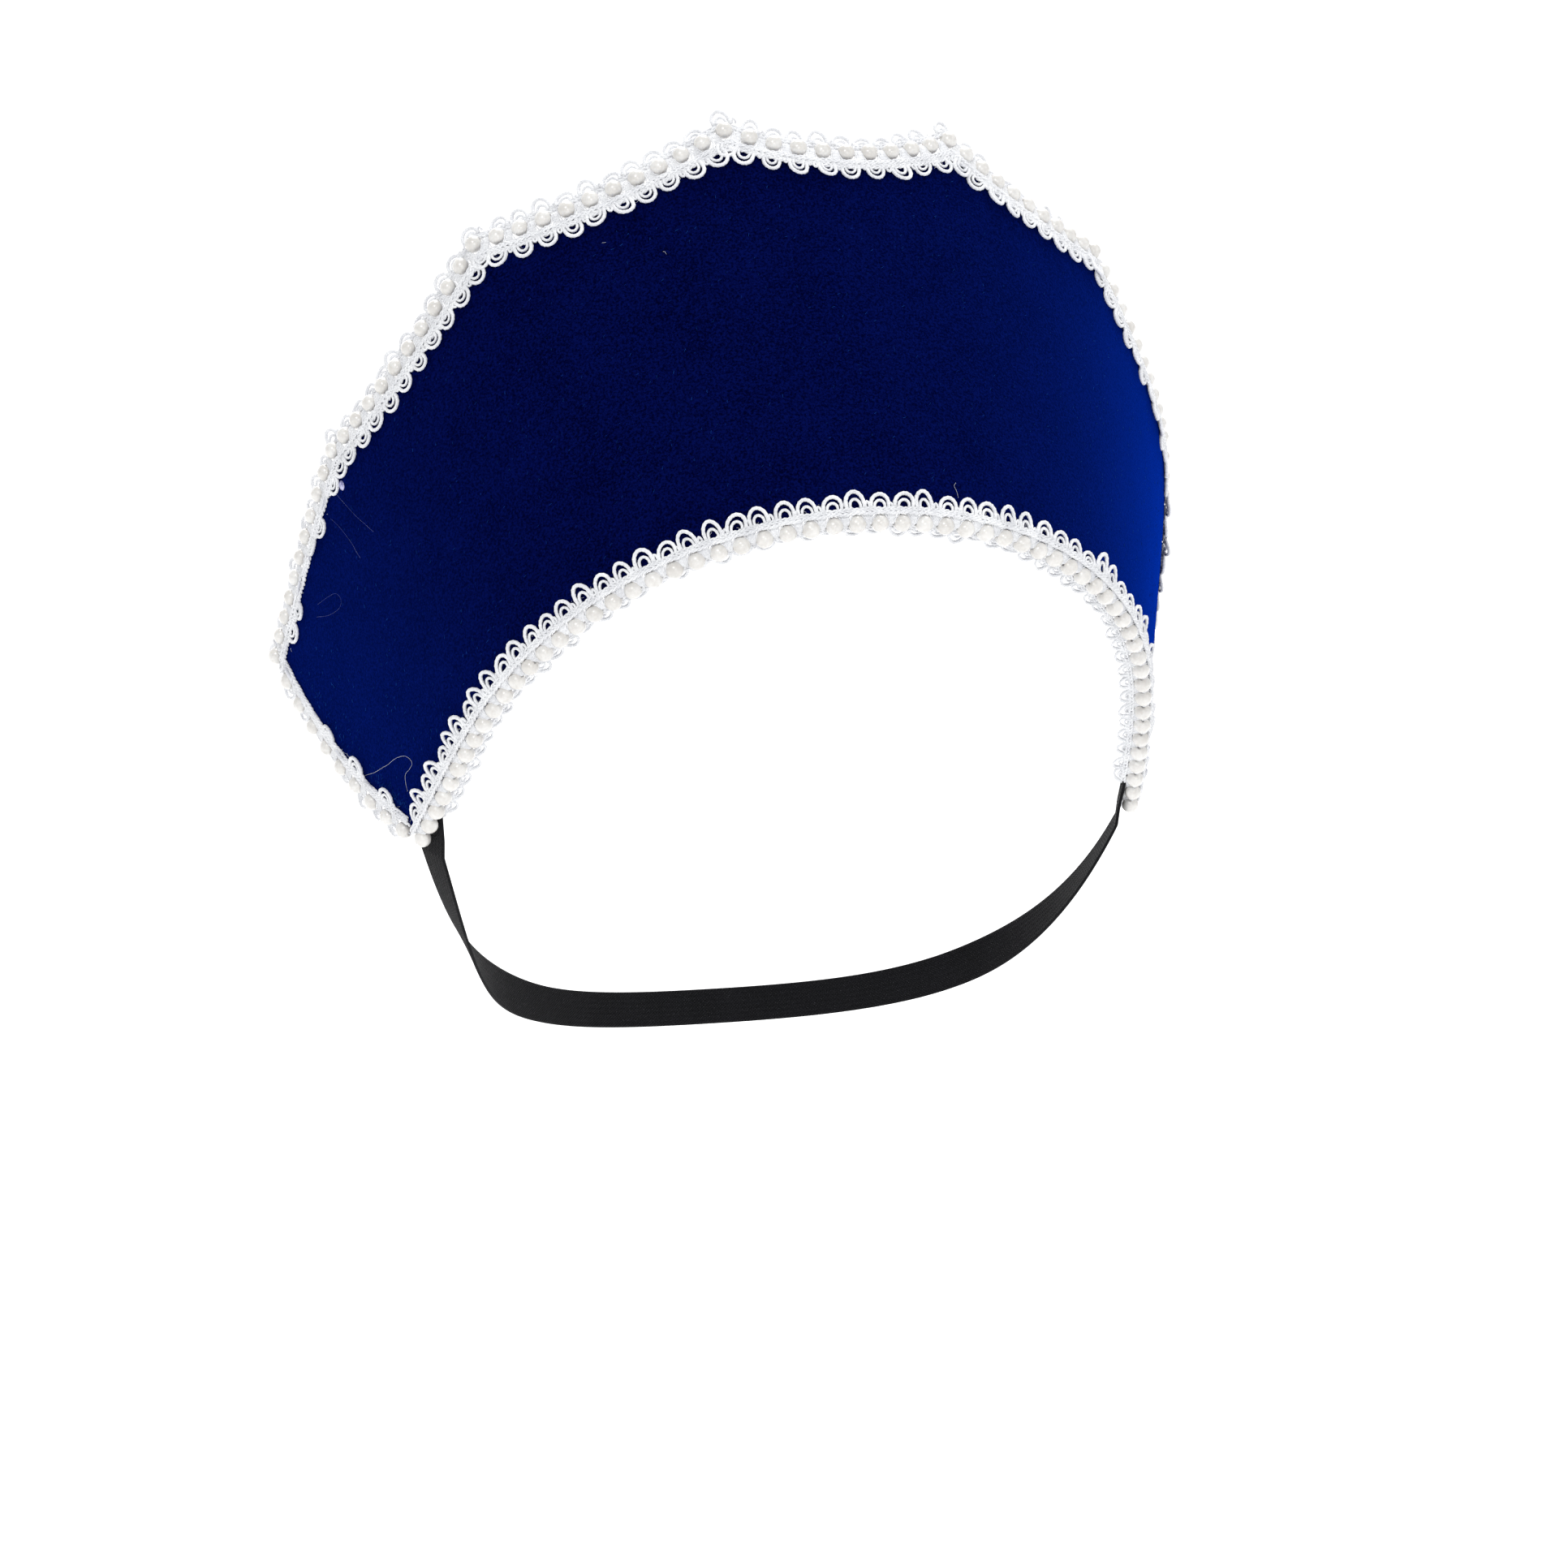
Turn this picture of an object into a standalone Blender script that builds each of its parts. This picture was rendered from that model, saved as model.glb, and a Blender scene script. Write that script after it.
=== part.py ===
"""A costume coronet: a stiff crescent covered in blue velvet, bent round the head, lined at
the back, edged on both rims with a white braid that carries a row of pearls, and held by a
black elastic round the nape. Metres, +Z up; the wearer looks along -Y and the origin is the
middle of the head."""

import math
from collections import namedtuple

import bmesh
import bpy
import numpy as np
from mathutils import Matrix, Vector

# How the flat crescent is bent. Its straight lines fan out from a point below the brow, and it
# is rounded evenly over the front, then straightens towards the tips.
FAN_RADIUS = 0.290
BEND_RADIUS = 0.1035
BEND_EVEN = 0.094
BEND_END = 0.186
LEAN_BACK = math.radians(35.0)
FRONT_RIM = Vector((0.0, -0.075, 0.055))

# The inner rim, laid flat: an arc each side of the middle, then a straight run to the tip.
INNER_ARC_RADIUS = 0.353
INNER_ARC_LENGTH = 0.138
INNER_STRAIGHT = 0.048
INNER_STEPS = 15

# The outer rim, laid flat: its corners from the left tip to the right one, across and up from
# the middle of the inner rim, with the dip of the edge that follows and its count of pearls.
Corner = namedtuple("Corner", "across up dip pearls")
OUTER_CORNERS = (
    Corner(-0.2220, 0.0250, 0.0010, 10),
    Corner(-0.1625, 0.0670, 0.0055, 11),
    Corner(-0.0990, 0.1055, 0.0052, 11),
    Corner(-0.0240, 0.1235, 0.0080, 10),
    Corner(0.0440, 0.1230, 0.0052, 10),
    Corner(0.1000, 0.1020, 0.0055, 11),
    Corner(0.1585, 0.0640, 0.0010, 11),
    Corner(0.2190, 0.0190, -0.0075, 10),
)
TIP_EDGE_DIP = -0.0075
TIP_EDGE_PEARLS = 10
INNER_PEARLS = 58
EDGE_STEPS = 5

# The layers, front to back, as depths behind the line of the pearls.
PLATE_FRONT = -0.0016
PLATE_BACK = 0.0006
LINING_FRONT = 0.0009
LINING_BACK = 0.0019
PLATE_INSET = 0.0029
LINING_INSET = 0.0040

PEARL_DIAMETER = 0.005
PEARL_SIDES = 10
THREAD_RADIUS = 0.0012
PEARL_SHOULDER = 0.0013
PEARL_ROUNDING = 0.97

BRAID_THICKNESS = 0.0007
FRONT_BRAID_DEPTH = -0.00225
FRONT_BRAID_REACH = (0.0022, 0.0052)
BACK_BRAID_REACH = (0.0029, 0.0055)
OUTER_BACK_ANGLE = math.radians(23.0)
INNER_BACK_ANGLE = math.radians(85.0)
BRAID_END_GAP = 0.0057
BRAID_LEAST_STEP = 0.0016
STRAP_CLEARANCE = 0.0105

ELASTIC_WIDTH = 0.011
ELASTIC_THICKNESS = 0.001
ELASTIC_SEWN = 0.016
ELASTIC_SEWN_DEPTH = 0.0028
ELASTIC_EDGE_DEPTH = 0.0035
ELASTIC_SLANT = math.radians(35.0)
ELASTIC_LEAVES = Vector((-0.32, 0.30, -0.90))
NAPE = Vector((0.0, 0.080, -0.118))
ELASTIC_TIP_PULL = 0.055
ELASTIC_NAPE_PULL = 0.070
ELASTIC_STEPS = 14

BEND_STEP = 0.001
BEND_STEPS = 240


def turn(angle):
    return np.array(((math.cos(angle), math.sin(angle)), (-math.sin(angle), math.cos(angle))))


def bend_at(distance):
    """How sharply the plate is rounded this far along the level of the front rim."""
    t = min(max((distance - BEND_EVEN) / (BEND_END - BEND_EVEN), 0.0), 1.0)
    return (1.0 - t * t * (3.0 - 2.0 * t)) / BEND_RADIUS


def bent_frames():
    """The bent plate's straight lines on the right half: where each crosses the level of the
    front rim, and its directions up, along and into the head."""
    up, along, inward = Vector((0, 0, 1)), Vector((1, 0, 0)), Vector((0, 1, 0))
    place = Vector((0, 0, 0))
    rows = [(place.copy(), up.copy(), inward.copy())]
    for step in range(BEND_STEPS):
        bend = bend_at((step + 0.5) * BEND_STEP)
        axis = (inward / FAN_RADIUS + up * bend) * BEND_STEP
        half = Matrix.Rotation(axis.length / 2.0, 3, axis)
        place += (half @ along) * BEND_STEP
        up, along, inward = (half @ half @ v for v in (up, along, inward))
        rows.append((place.copy(), up.copy(), inward.copy()))
    return [np.array(column) for column in zip(*rows)]


FRAME_PLACE, FRAME_UP, FRAME_INWARD = bent_frames()
FRAME_STATIONS = np.arange(BEND_STEPS + 1) * BEND_STEP
STAND_UP = Matrix.Rotation(-LEAN_BACK, 3, "X")


def ruling_angle(across, up):
    return math.atan2(abs(across), FAN_RADIUS + up)


def on_plate(flat, depth):
    """The place of a point of the flat pattern once the plate is bent, this deep behind it."""
    across, up = flat
    station = ruling_angle(across, up) * FAN_RADIUS
    climb = math.hypot(across, FAN_RADIUS + up) - FAN_RADIUS
    place, rise, inward = (
        Vector([float(np.interp(station, FRAME_STATIONS, table[:, k])) for k in range(3)])
        for table in (FRAME_PLACE, FRAME_UP, FRAME_INWARD)
    )
    point = place + rise.normalized() * climb + inward.normalized() * depth
    point.x = math.copysign(point.x, across)
    return STAND_UP @ point + FRONT_RIM


def inner_rim(steps):
    """The flat inner rim from the left tip to the right one."""
    half = INNER_ARC_LENGTH + INNER_STRAIGHT
    full_turn = INNER_ARC_LENGTH / INNER_ARC_RADIUS
    points = []
    for length in np.linspace(-half, half, 2 * steps + 1):
        angle = min(abs(length), INNER_ARC_LENGTH) / INNER_ARC_RADIUS
        rest = max(abs(length) - INNER_ARC_LENGTH, 0.0)
        across = INNER_ARC_RADIUS * math.sin(angle) + rest * math.cos(full_turn)
        drop = INNER_ARC_RADIUS * (1.0 - math.cos(angle)) + rest * math.sin(full_turn)
        points.append(np.array((math.copysign(across, length), -drop)))
    return points


def dipping_edge(start, end, dip, steps):
    """An arc from corner to corner that dips towards the plate, without its last point."""
    chord = np.linalg.norm(end - start)
    along = (end - start) / chord
    down = turn(math.pi / 2) @ along
    radius = (chord * chord / 4 + dip * dip) / (2 * dip)
    half = math.asin(chord / 2 / radius)
    points = []
    for k in range(steps):
        angle = half * (2 * k / steps - 1)
        sink = radius * (math.cos(angle) - math.cos(half))
        points.append((start + end) / 2 + along * radius * math.sin(angle) + down * sink)
    return points


def outer_rim(steps):
    """The flat outer rim from the left tip to the right one, and its corners' numbers."""
    left_tip, _, right_tip = inner_rim(1)
    first = Corner(*left_tip, TIP_EDGE_DIP, TIP_EDGE_PEARLS)
    stations = (first,) + OUTER_CORNERS + (Corner(*right_tip, 0.0, 0),)
    points = []
    for this, following in zip(stations, stations[1:]):
        start, end = np.array(this[:2]), np.array(following[:2])
        points += dipping_edge(start, end, this.dip, steps)
    return points + [np.array(stations[-1][:2])]


def outward_miters(points, closed):
    """At each point, the way out of the plate, lengthened at corners so that edges moved along
    it stay parallel. The plate lies on the right of the way the points run."""
    count = len(points)
    miters = []
    for k in range(count):
        before = points[k] - points[k - 1] if closed or k > 0 else points[1] - points[0]
        ahead = points[(k + 1) % count] - points[k] if closed or k < count - 1 else before
        left = [turn(-math.pi / 2) @ (v / np.linalg.norm(v)) for v in (before, ahead)]
        miters.append((left[0] + left[1]) / (1.0 + left[0] @ left[1]))
    return miters


def lengths_along(points):
    steps = [0.0] + [float(np.linalg.norm(b - a)) for a, b in zip(points, points[1:])]
    return np.cumsum(steps)


def point_along(points, lengths, length):
    return np.array([np.interp(length, lengths, [p[k] for p in points]) for k in range(2)])


def finish_object(name, bm, material):
    bmesh.ops.remove_doubles(bm, verts=bm.verts, dist=1e-6)
    bmesh.ops.dissolve_degenerate(bm, edges=bm.edges, dist=1e-7)
    bmesh.ops.recalc_face_normals(bm, faces=bm.faces)
    mesh = bpy.data.meshes.new(name)
    bm.to_mesh(mesh)
    bm.free()
    mesh.shade_smooth()
    mesh.set_sharp_from_angle(angle=math.radians(40))
    mesh.materials.append(material)
    bpy.context.scene.collection.objects.link(bpy.data.objects.new(name, mesh))


def swept(name, rings, material):
    """A closed solid through rings of equal count, capped at both ends."""
    bm = bmesh.new()
    rows = [[bm.verts.new(point) for point in ring] for ring in rings]
    count = len(rows[0])
    for low, high in zip(rows, rows[1:]):
        for k in range(count):
            following = (k + 1) % count
            bm.faces.new((low[k], low[following], high[following], high[k]))
    bm.faces.new(rows[0][::-1])
    bm.faces.new(rows[-1])
    finish_object(name, bm, material)


def plate_rungs(inset):
    """The plate's outer and inner edges, the pearl lines moved in by the inset, paired so that
    each pair lies on about the same straight line of the bend."""
    outer = outer_rim(EDGE_STEPS)
    inner = inner_rim(INNER_STEPS)
    loop = outer + inner[-2:0:-1]
    moved = [p - m * inset for p, m in zip(loop, outward_miters(loop, True))]
    outer_rail = moved[: len(outer)]
    inner_rail = [moved[0]] + moved[:len(outer) - 1:-1] + [moved[len(outer) - 1]]
    lengths = lengths_along(inner_rail)
    middle = len(inner_rail) // 2
    last = len(outer_rail) - 1
    paired = []
    for side, ends in ((-1, (0, middle)), (1, (middle, len(inner_rail) - 1))):
        part = range(ends[0], ends[1] + 1)
        angles = [side * ruling_angle(*inner_rail[k]) for k in part]
        paired.append((angles, [lengths[k] for k in part]))

    def opposite(k):
        side = 0 if outer_rail[k][0] < 0 else 1
        angles, reach = paired[side]
        angle = (2 * side - 1) * ruling_angle(*outer_rail[k])
        return float(np.interp(angle, angles, reach))

    rungs = []
    for k in range(last + 1):
        low, high = EDGE_STEPS, last - EDGE_STEPS
        if k < low:
            length = opposite(low) * k / low
        elif k > high:
            share = (last - k) / (last - high)
            length = lengths[-1] - (lengths[-1] - opposite(high)) * share
        else:
            length = opposite(k)
        rungs.append((point_along(inner_rail, lengths, length), outer_rail[k]))
    return rungs


def crescent(name, inset, front, back, material):
    """One layer of the crescent, between two depths, bent to shape."""
    corners = ((0, front), (1, front), (1, back), (0, back))
    rings = [[on_plate(rung[side], depth) for side, depth in corners] for rung in plate_rungs(inset)]
    swept(name, rings, material)


def pearl_places(edges, counts):
    """Lengths along a rim at which pearls lie, so many steps of them to each edge."""
    places = [edges[0]]
    for start, end, count in zip(edges, edges[1:], counts):
        places += [start + (end - start) * (k + 1) / count for k in range(count)]
    return places


def pearl_string(name, rim, places, material):
    """Pearls on their thread, as one turned string that follows the rim."""
    lengths = lengths_along(rim)
    radius = PEARL_DIAMETER / 2
    stations = [(places[0] - radius, THREAD_RADIUS)]
    for place, following in zip(places, places[1:] + [None]):
        stations.append((place - PEARL_SHOULDER, radius * PEARL_ROUNDING))
        stations.append((place + PEARL_SHOULDER, radius * PEARL_ROUNDING))
        between = place + radius if following is None else (place + following) / 2
        stations.append((between, THREAD_RADIUS))
    rings = []
    for length, size in stations:
        here = point_along(rim, lengths, length)
        if length < lengths[0]:
            here = rim[0] + (rim[0] - rim[1]) / lengths[1] * (lengths[0] - length)
        elif length > lengths[-1]:
            step = rim[-1] - rim[-2]
            here = rim[-1] + step / np.linalg.norm(step) * (length - lengths[-1])
        nearby = min(max(length, PEARL_SHOULDER), lengths[-1] - PEARL_SHOULDER)
        ahead = point_along(rim, lengths, nearby + PEARL_SHOULDER / 2)
        behind = point_along(rim, lengths, nearby - PEARL_SHOULDER / 2)
        out = turn(-math.pi / 2) @ ((ahead - behind) / np.linalg.norm(ahead - behind))
        ring = []
        for k in range(PEARL_SIDES):
            angle = math.tau * k / PEARL_SIDES
            ring.append(on_plate(here + out * size * math.cos(angle), size * math.sin(angle)))
        rings.append(ring)
    swept(name, rings, material)


def trimmed(points, start_cut, end_cut):
    """The points with a length cut off each end, and the miters that belong to them."""
    lengths = lengths_along(points)
    miters = outward_miters(points, False)
    low, high = start_cut + BRAID_LEAST_STEP, lengths[-1] - end_cut - BRAID_LEAST_STEP
    keep = [k for k, length in enumerate(lengths) if low < length < high]
    first = point_along(points, lengths, start_cut)
    final = point_along(points, lengths, lengths[-1] - end_cut)
    ways = [points[keep[0]] - first, final - points[keep[-1]]]
    ends = [turn(-math.pi / 2) @ (way / np.linalg.norm(way)) for way in ways]
    return (
        [first] + [points[k] for k in keep] + [final],
        [ends[0]] + [miters[k] for k in keep] + [ends[1]],
    )


def braid_half(name, rim, cuts, section, material):
    """One half of the folded braid: a flat section swept along the rim. The section's points
    are how far out of the rim and how deep they lie."""
    points, miters = trimmed(rim, *cuts)
    rings = []
    for point, miter in zip(points, miters):
        rings.append([on_plate(point + miter * out, depth) for out, depth in section])
    swept(name, rings, material)


def front_section():
    near, far = FRONT_BRAID_REACH
    low = FRONT_BRAID_DEPTH - BRAID_THICKNESS / 2
    high = FRONT_BRAID_DEPTH + BRAID_THICKNESS / 2
    return ((-near, low), (-near, high), (-far, high), (-far, low))


def back_section(angle):
    """A strip that stands away from the pearls at an angle out of the plate's plane."""
    points = []
    for reach, side in zip(BACK_BRAID_REACH + BACK_BRAID_REACH[::-1], (-1, -1, 1, 1)):
        half = side * BRAID_THICKNESS / 2
        out = reach * math.cos(angle) - half * math.sin(angle)
        depth = reach * math.sin(angle) + half * math.cos(angle)
        points.append((out, depth))
    return points


def elastic_line():
    """The elastic's middle line from the sewn end at the right tip round to the left one, with
    the outward direction of its face at each point."""
    tip = inner_rim(1)[-1]
    leave = np.array((math.sin(ELASTIC_SLANT), -math.cos(ELASTIC_SLANT)))
    sewn = [
        on_plate(tip - leave * ELASTIC_SEWN, ELASTIC_SEWN_DEPTH),
        on_plate(tip - leave * ELASTIC_SEWN / 2, ELASTIC_SEWN_DEPTH),
        on_plate(tip, ELASTIC_EDGE_DEPTH),
    ]
    start = on_plate(tip + leave * PEARL_DIAMETER, ELASTIC_EDGE_DEPTH)
    pull = ELASTIC_LEAVES.normalized() * ELASTIC_TIP_PULL
    handles = (start, start + pull, NAPE + Vector((ELASTIC_NAPE_PULL, 0, 0)), NAPE)
    curve = []
    for k in range(ELASTIC_STEPS + 1):
        t = k / ELASTIC_STEPS
        weights = ((1 - t) ** 3, 3 * t * (1 - t) ** 2, 3 * t * t * (1 - t), t**3)
        curve.append(sum((h * w for h, w in zip(handles, weights)), Vector()))
    side = on_plate(tip, -1.0) - on_plate(tip, 0.0)
    right = sewn + curve
    faces = []
    for k, point in enumerate(right):
        share = max(k - len(sewn), 0) / ELASTIC_STEPS
        faces.append(side.normalized().lerp(Vector((0, 1, 0)), share * share * (3 - 2 * share)))
    mirror = Vector((-1, 1, 1))
    points = right + [p * mirror for p in right[-2::-1]]
    return points, faces + [f * mirror for f in faces[-2::-1]]


def elastic_band(name, material):
    points, faces = elastic_line()
    rings = []
    for k, (point, face) in enumerate(zip(points, faces)):
        way = (points[min(k + 1, len(points) - 1)] - points[max(k - 1, 0)]).normalized()
        face = (face - way * face.dot(way)).normalized()
        across = way.cross(face) * ELASTIC_WIDTH / 2
        out = face * ELASTIC_THICKNESS / 2
        rings.append([point + across + out, point + across - out,
                      point - across - out, point - across + out])
    swept(name, rings, material)


def surface(name, colour, roughness):
    material = bpy.data.materials.new(name)
    material.use_nodes = True
    shader = material.node_tree.nodes["Principled BSDF"]
    shader.inputs["Base Color"].default_value = (*colour, 1.0)
    shader.inputs["Roughness"].default_value = roughness
    shader.inputs["Metallic"].default_value = 0.0
    return material


def clear_scene():
    for item in list(bpy.data.objects):
        bpy.data.objects.remove(item)


def main():
    clear_scene()
    velvet = surface("blue_velvet", (0.006, 0.015, 0.16), 0.9)
    lining = surface("slate_lining", (0.05, 0.06, 0.10), 0.85)
    pearl = surface("pearl", (0.88, 0.86, 0.82), 0.25)
    gimp = surface("white_gimp", (0.86, 0.87, 0.90), 0.8)
    elastic = surface("black_elastic", (0.02, 0.02, 0.022), 0.75)

    crescent("velvet_plate", PLATE_INSET, PLATE_FRONT, PLATE_BACK, velvet)
    crescent("back_lining", LINING_INSET, LINING_FRONT, LINING_BACK, lining)

    outer = outer_rim(EDGE_STEPS)
    inner = inner_rim(INNER_STEPS)[::-1]
    outer_lengths = lengths_along(outer)
    corners = [float(outer_lengths[k]) for k in range(0, len(outer), EDGE_STEPS)]
    inner_lengths = lengths_along(inner)
    counts = [TIP_EDGE_PEARLS] + [corner.pearls for corner in OUTER_CORNERS]
    pearl_string("outer_pearls", outer, pearl_places(corners, counts)[1:-1], pearl)
    ends = [0.0, float(inner_lengths[-1])]
    pearl_string("inner_pearls", inner, pearl_places(ends, [INNER_PEARLS]), pearl)

    tip_cut = (BRAID_END_GAP, BRAID_END_GAP)
    strap_cut = (STRAP_CLEARANCE, STRAP_CLEARANCE)
    braid_half("outer_braid_front", outer, tip_cut, front_section(), gimp)
    braid_half("outer_braid_back", outer, strap_cut, back_section(OUTER_BACK_ANGLE), gimp)
    braid_half("inner_braid_front", inner, (0.0, 0.0), front_section(), gimp)
    braid_half("inner_braid_back", inner, strap_cut, back_section(INNER_BACK_ANGLE), gimp)
    elastic_band("nape_elastic", elastic)


main()
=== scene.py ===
import math
from collections import namedtuple

import bmesh
import bpy
import numpy as np
from mathutils import Matrix, Quaternion, Vector


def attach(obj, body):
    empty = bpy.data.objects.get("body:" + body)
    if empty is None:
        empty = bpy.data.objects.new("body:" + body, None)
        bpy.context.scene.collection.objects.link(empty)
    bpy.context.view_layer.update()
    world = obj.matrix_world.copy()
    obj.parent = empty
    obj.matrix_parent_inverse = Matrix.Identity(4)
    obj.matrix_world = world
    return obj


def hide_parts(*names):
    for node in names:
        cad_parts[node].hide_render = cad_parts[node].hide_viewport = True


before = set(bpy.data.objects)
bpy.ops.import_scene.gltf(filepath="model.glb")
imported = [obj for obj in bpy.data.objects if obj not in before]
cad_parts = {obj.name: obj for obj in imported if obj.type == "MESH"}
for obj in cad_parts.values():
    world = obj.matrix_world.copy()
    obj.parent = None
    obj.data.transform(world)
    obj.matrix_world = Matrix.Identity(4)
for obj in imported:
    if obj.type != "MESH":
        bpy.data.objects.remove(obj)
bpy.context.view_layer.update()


# The camera stands a little to the wearer's right and above, and sees the coronet from the
# front. The picture is square, and its field of view is twenty degrees.
CAMERA_PLACE = Vector((-0.3805, -1.2087, 0.2248))
CAMERA_LOOK = Vector((0.29257, 0.93541, -0.19851))
CAMERA_ROLL = math.radians(0.94)
CAMERA_LENS = 102.48
CAMERA_SENSOR = 36.0

camera_data = bpy.data.cameras.new("camera")
camera_data.lens = CAMERA_LENS
camera_data.sensor_width = CAMERA_SENSOR
camera_data.clip_start = 0.01
camera_data.clip_end = 60.0
camera = bpy.data.objects.new("camera", camera_data)
bpy.context.scene.collection.objects.link(camera)
camera.rotation_mode = "QUATERNION"
camera.location = CAMERA_PLACE
level_view = CAMERA_LOOK.to_track_quat("-Z", "Y")
camera.rotation_quaternion = level_view @ Quaternion((0, 0, 1), CAMERA_ROLL)
bpy.context.scene.camera = camera
bpy.context.scene.view_settings.view_transform = "Standard"


# The studio: a pale floor that curves up into the back wall, a white room all round, a broad
# soft light at the front left, weaker ones in front and at the right, and two high behind.
FLOOR_LEVEL = -0.32
FLOOR_WIDTH = 16.0
FLOOR_FRONT = -6.0
FLOOR_BACK = 3.5
COVE_RADIUS = 2.0
COVE_STEPS = 12
WALL_TOP = 6.0
ROOM_BRIGHTNESS = 0.72
SoftLight = namedtuple("SoftLight", "name place aim size power")
SOFT_LIGHTS = (
    SoftLight("key_light", (-1.3, -1.9, 1.7), (0, 0, 0.05), 0.6, 15.0),
    SoftLight("front_light", (-0.15, -1.9, 0.45), (0, 0, 0.05), 0.35, 3.5),
    SoftLight("fill_light", (1.9, -1.4, 0.7), (0, 0, 0.05), 1.6, 5.0),
    SoftLight("back_light", (0.5, 1.7, 1.9), (0, 0, 0.05), 1.5, 14.0),
    SoftLight("wall_light", (1.0, 1.5, 4.5), (1.2, 5.5, 1.2), 3.0, 260.0),
)


def new_material(name):
    material = bpy.data.materials.new(name)
    material.use_nodes = True
    return material, material.node_tree, material.node_tree.nodes["Principled BSDF"]


def add_object(name, mesh, *materials):
    for material in materials:
        mesh.materials.append(material)
    item = bpy.data.objects.new(name, mesh)
    bpy.context.scene.collection.objects.link(item)
    return item


floor_paint, _, floor_shader = new_material("pale_floor")
floor_shader.inputs["Base Color"].default_value = (0.96, 0.96, 0.96, 1)
floor_shader.inputs["Roughness"].default_value = 0.9

floor_line = [(FLOOR_FRONT, FLOOR_LEVEL), (FLOOR_BACK, FLOOR_LEVEL)]
for step in range(1, COVE_STEPS + 1):
    angle = math.pi / 2 * step / COVE_STEPS
    rise = FLOOR_LEVEL + COVE_RADIUS * (1 - math.cos(angle))
    floor_line.append((FLOOR_BACK + COVE_RADIUS * math.sin(angle), rise))
floor_line.append((FLOOR_BACK + COVE_RADIUS, WALL_TOP))
floor_mesh = bpy.data.meshes.new("studio_floor")
floor_points = [(x, y, z) for y, z in floor_line for x in (-FLOOR_WIDTH / 2, FLOOR_WIDTH / 2)]
floor_faces = [(2 * k, 2 * k + 1, 2 * k + 3, 2 * k + 2) for k in range(len(floor_line) - 1)]
floor_mesh.from_pydata(floor_points, [], floor_faces)
floor_mesh.shade_smooth()
add_object("studio_floor", floor_mesh, floor_paint)

world = bpy.data.worlds.new("white_room")
world.use_nodes = True
world.node_tree.nodes["Background"].inputs["Color"].default_value = (1, 1, 1, 1)
world.node_tree.nodes["Background"].inputs["Strength"].default_value = ROOM_BRIGHTNESS
bpy.context.scene.world = world

for light in SOFT_LIGHTS:
    lamp = bpy.data.lights.new(light.name, "AREA")
    lamp.size = light.size
    lamp.energy = light.power
    stand = bpy.data.objects.new(light.name, lamp)
    stand.location = light.place
    away = Vector(light.place) - Vector(light.aim)
    stand.rotation_mode = "QUATERNION"
    stand.rotation_quaternion = away.to_track_quat("Z", "Y")
    bpy.context.scene.collection.objects.link(stand)


# The velvet cover: one crescent of deep blue velvet with a short pile, glued over a stiff card
# and turned over its edges. It is cut flat and bent round the head, so its shape is worked out
# on the flat pattern and then bent along straight lines that fan out from below the brow.
FAN_RADIUS = 0.290
BEND_RADIUS = 0.1035
BEND_EVEN = 0.094
BEND_END = 0.186
BEND_STEP = 0.001
BEND_STEPS = 240
LEAN_BACK = math.radians(35.0)
FRONT_RIM = np.array((0.0, -0.075, 0.055))

INNER_ARC_RADIUS = 0.353
INNER_ARC_LENGTH = 0.138
INNER_STRAIGHT = 0.048
INNER_STEPS = 120
Corner = namedtuple("Corner", "across up dip pearls")
OUTER_CORNERS = (
    Corner(-0.2220, 0.0250, 0.0010, 10),
    Corner(-0.1625, 0.0670, 0.0055, 11),
    Corner(-0.0990, 0.1055, 0.0052, 11),
    Corner(-0.0240, 0.1235, 0.0080, 10),
    Corner(0.0440, 0.1230, 0.0052, 10),
    Corner(0.1000, 0.1020, 0.0055, 11),
    Corner(0.1585, 0.0640, 0.0010, 11),
    Corner(0.2190, 0.0190, -0.0075, 10),
)
TIP_EDGE_DIP = -0.0075
TIP_EDGE_PEARLS = 10
INNER_PEARLS = 58
EDGE_STEPS = 30

VELVET_FRONT = -0.0016
VELVET_BACK = 0.0006
VELVET_INSET = 0.0029
VELVET_ROWS = 26
EDGE_ROUNDING = 5
VELVET_COLOUR = (0.0002, 0.0002, 0.009)
VELVET_LIGHT_COLOUR = (0.0012, 0.0034, 0.057)


def turned(vectors, angle):
    """Flat vectors turned anticlockwise."""
    cos, sin = math.cos(angle), math.sin(angle)
    x, y = vectors[..., 0], vectors[..., 1]
    return np.stack((x * cos - y * sin, x * sin + y * cos), -1)


def one_long(vectors):
    """The same ways, each one unit long."""
    return vectors / np.linalg.norm(vectors, axis=-1, keepdims=True)


def bend_frames():
    """The bent cover's straight lines: where each crosses the level of the front rim, and its
    directions up and into the head."""
    up, along, inward = Vector((0, 0, 1)), Vector((1, 0, 0)), Vector((0, 1, 0))
    place = Vector((0, 0, 0))
    rows = [(*place, *up, *inward)]
    for step in range(BEND_STEPS):
        distance = (step + 0.5) * BEND_STEP
        t = min(max((distance - BEND_EVEN) / (BEND_END - BEND_EVEN), 0.0), 1.0)
        bend = (1.0 - t * t * (3.0 - 2.0 * t)) / BEND_RADIUS
        axis = (inward / FAN_RADIUS + up * bend) * BEND_STEP
        half = Matrix.Rotation(axis.length / 2.0, 3, axis)
        place += (half @ along) * BEND_STEP
        up, along, inward = (half @ half @ v for v in (up, along, inward))
        rows.append((*place, *up, *inward))
    return np.array(rows)


BEND_TABLE = bend_frames()
BEND_STATIONS = np.arange(BEND_STEPS + 1) * BEND_STEP
STAND_UP = np.array(Matrix.Rotation(-LEAN_BACK, 3, "X"))


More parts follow.
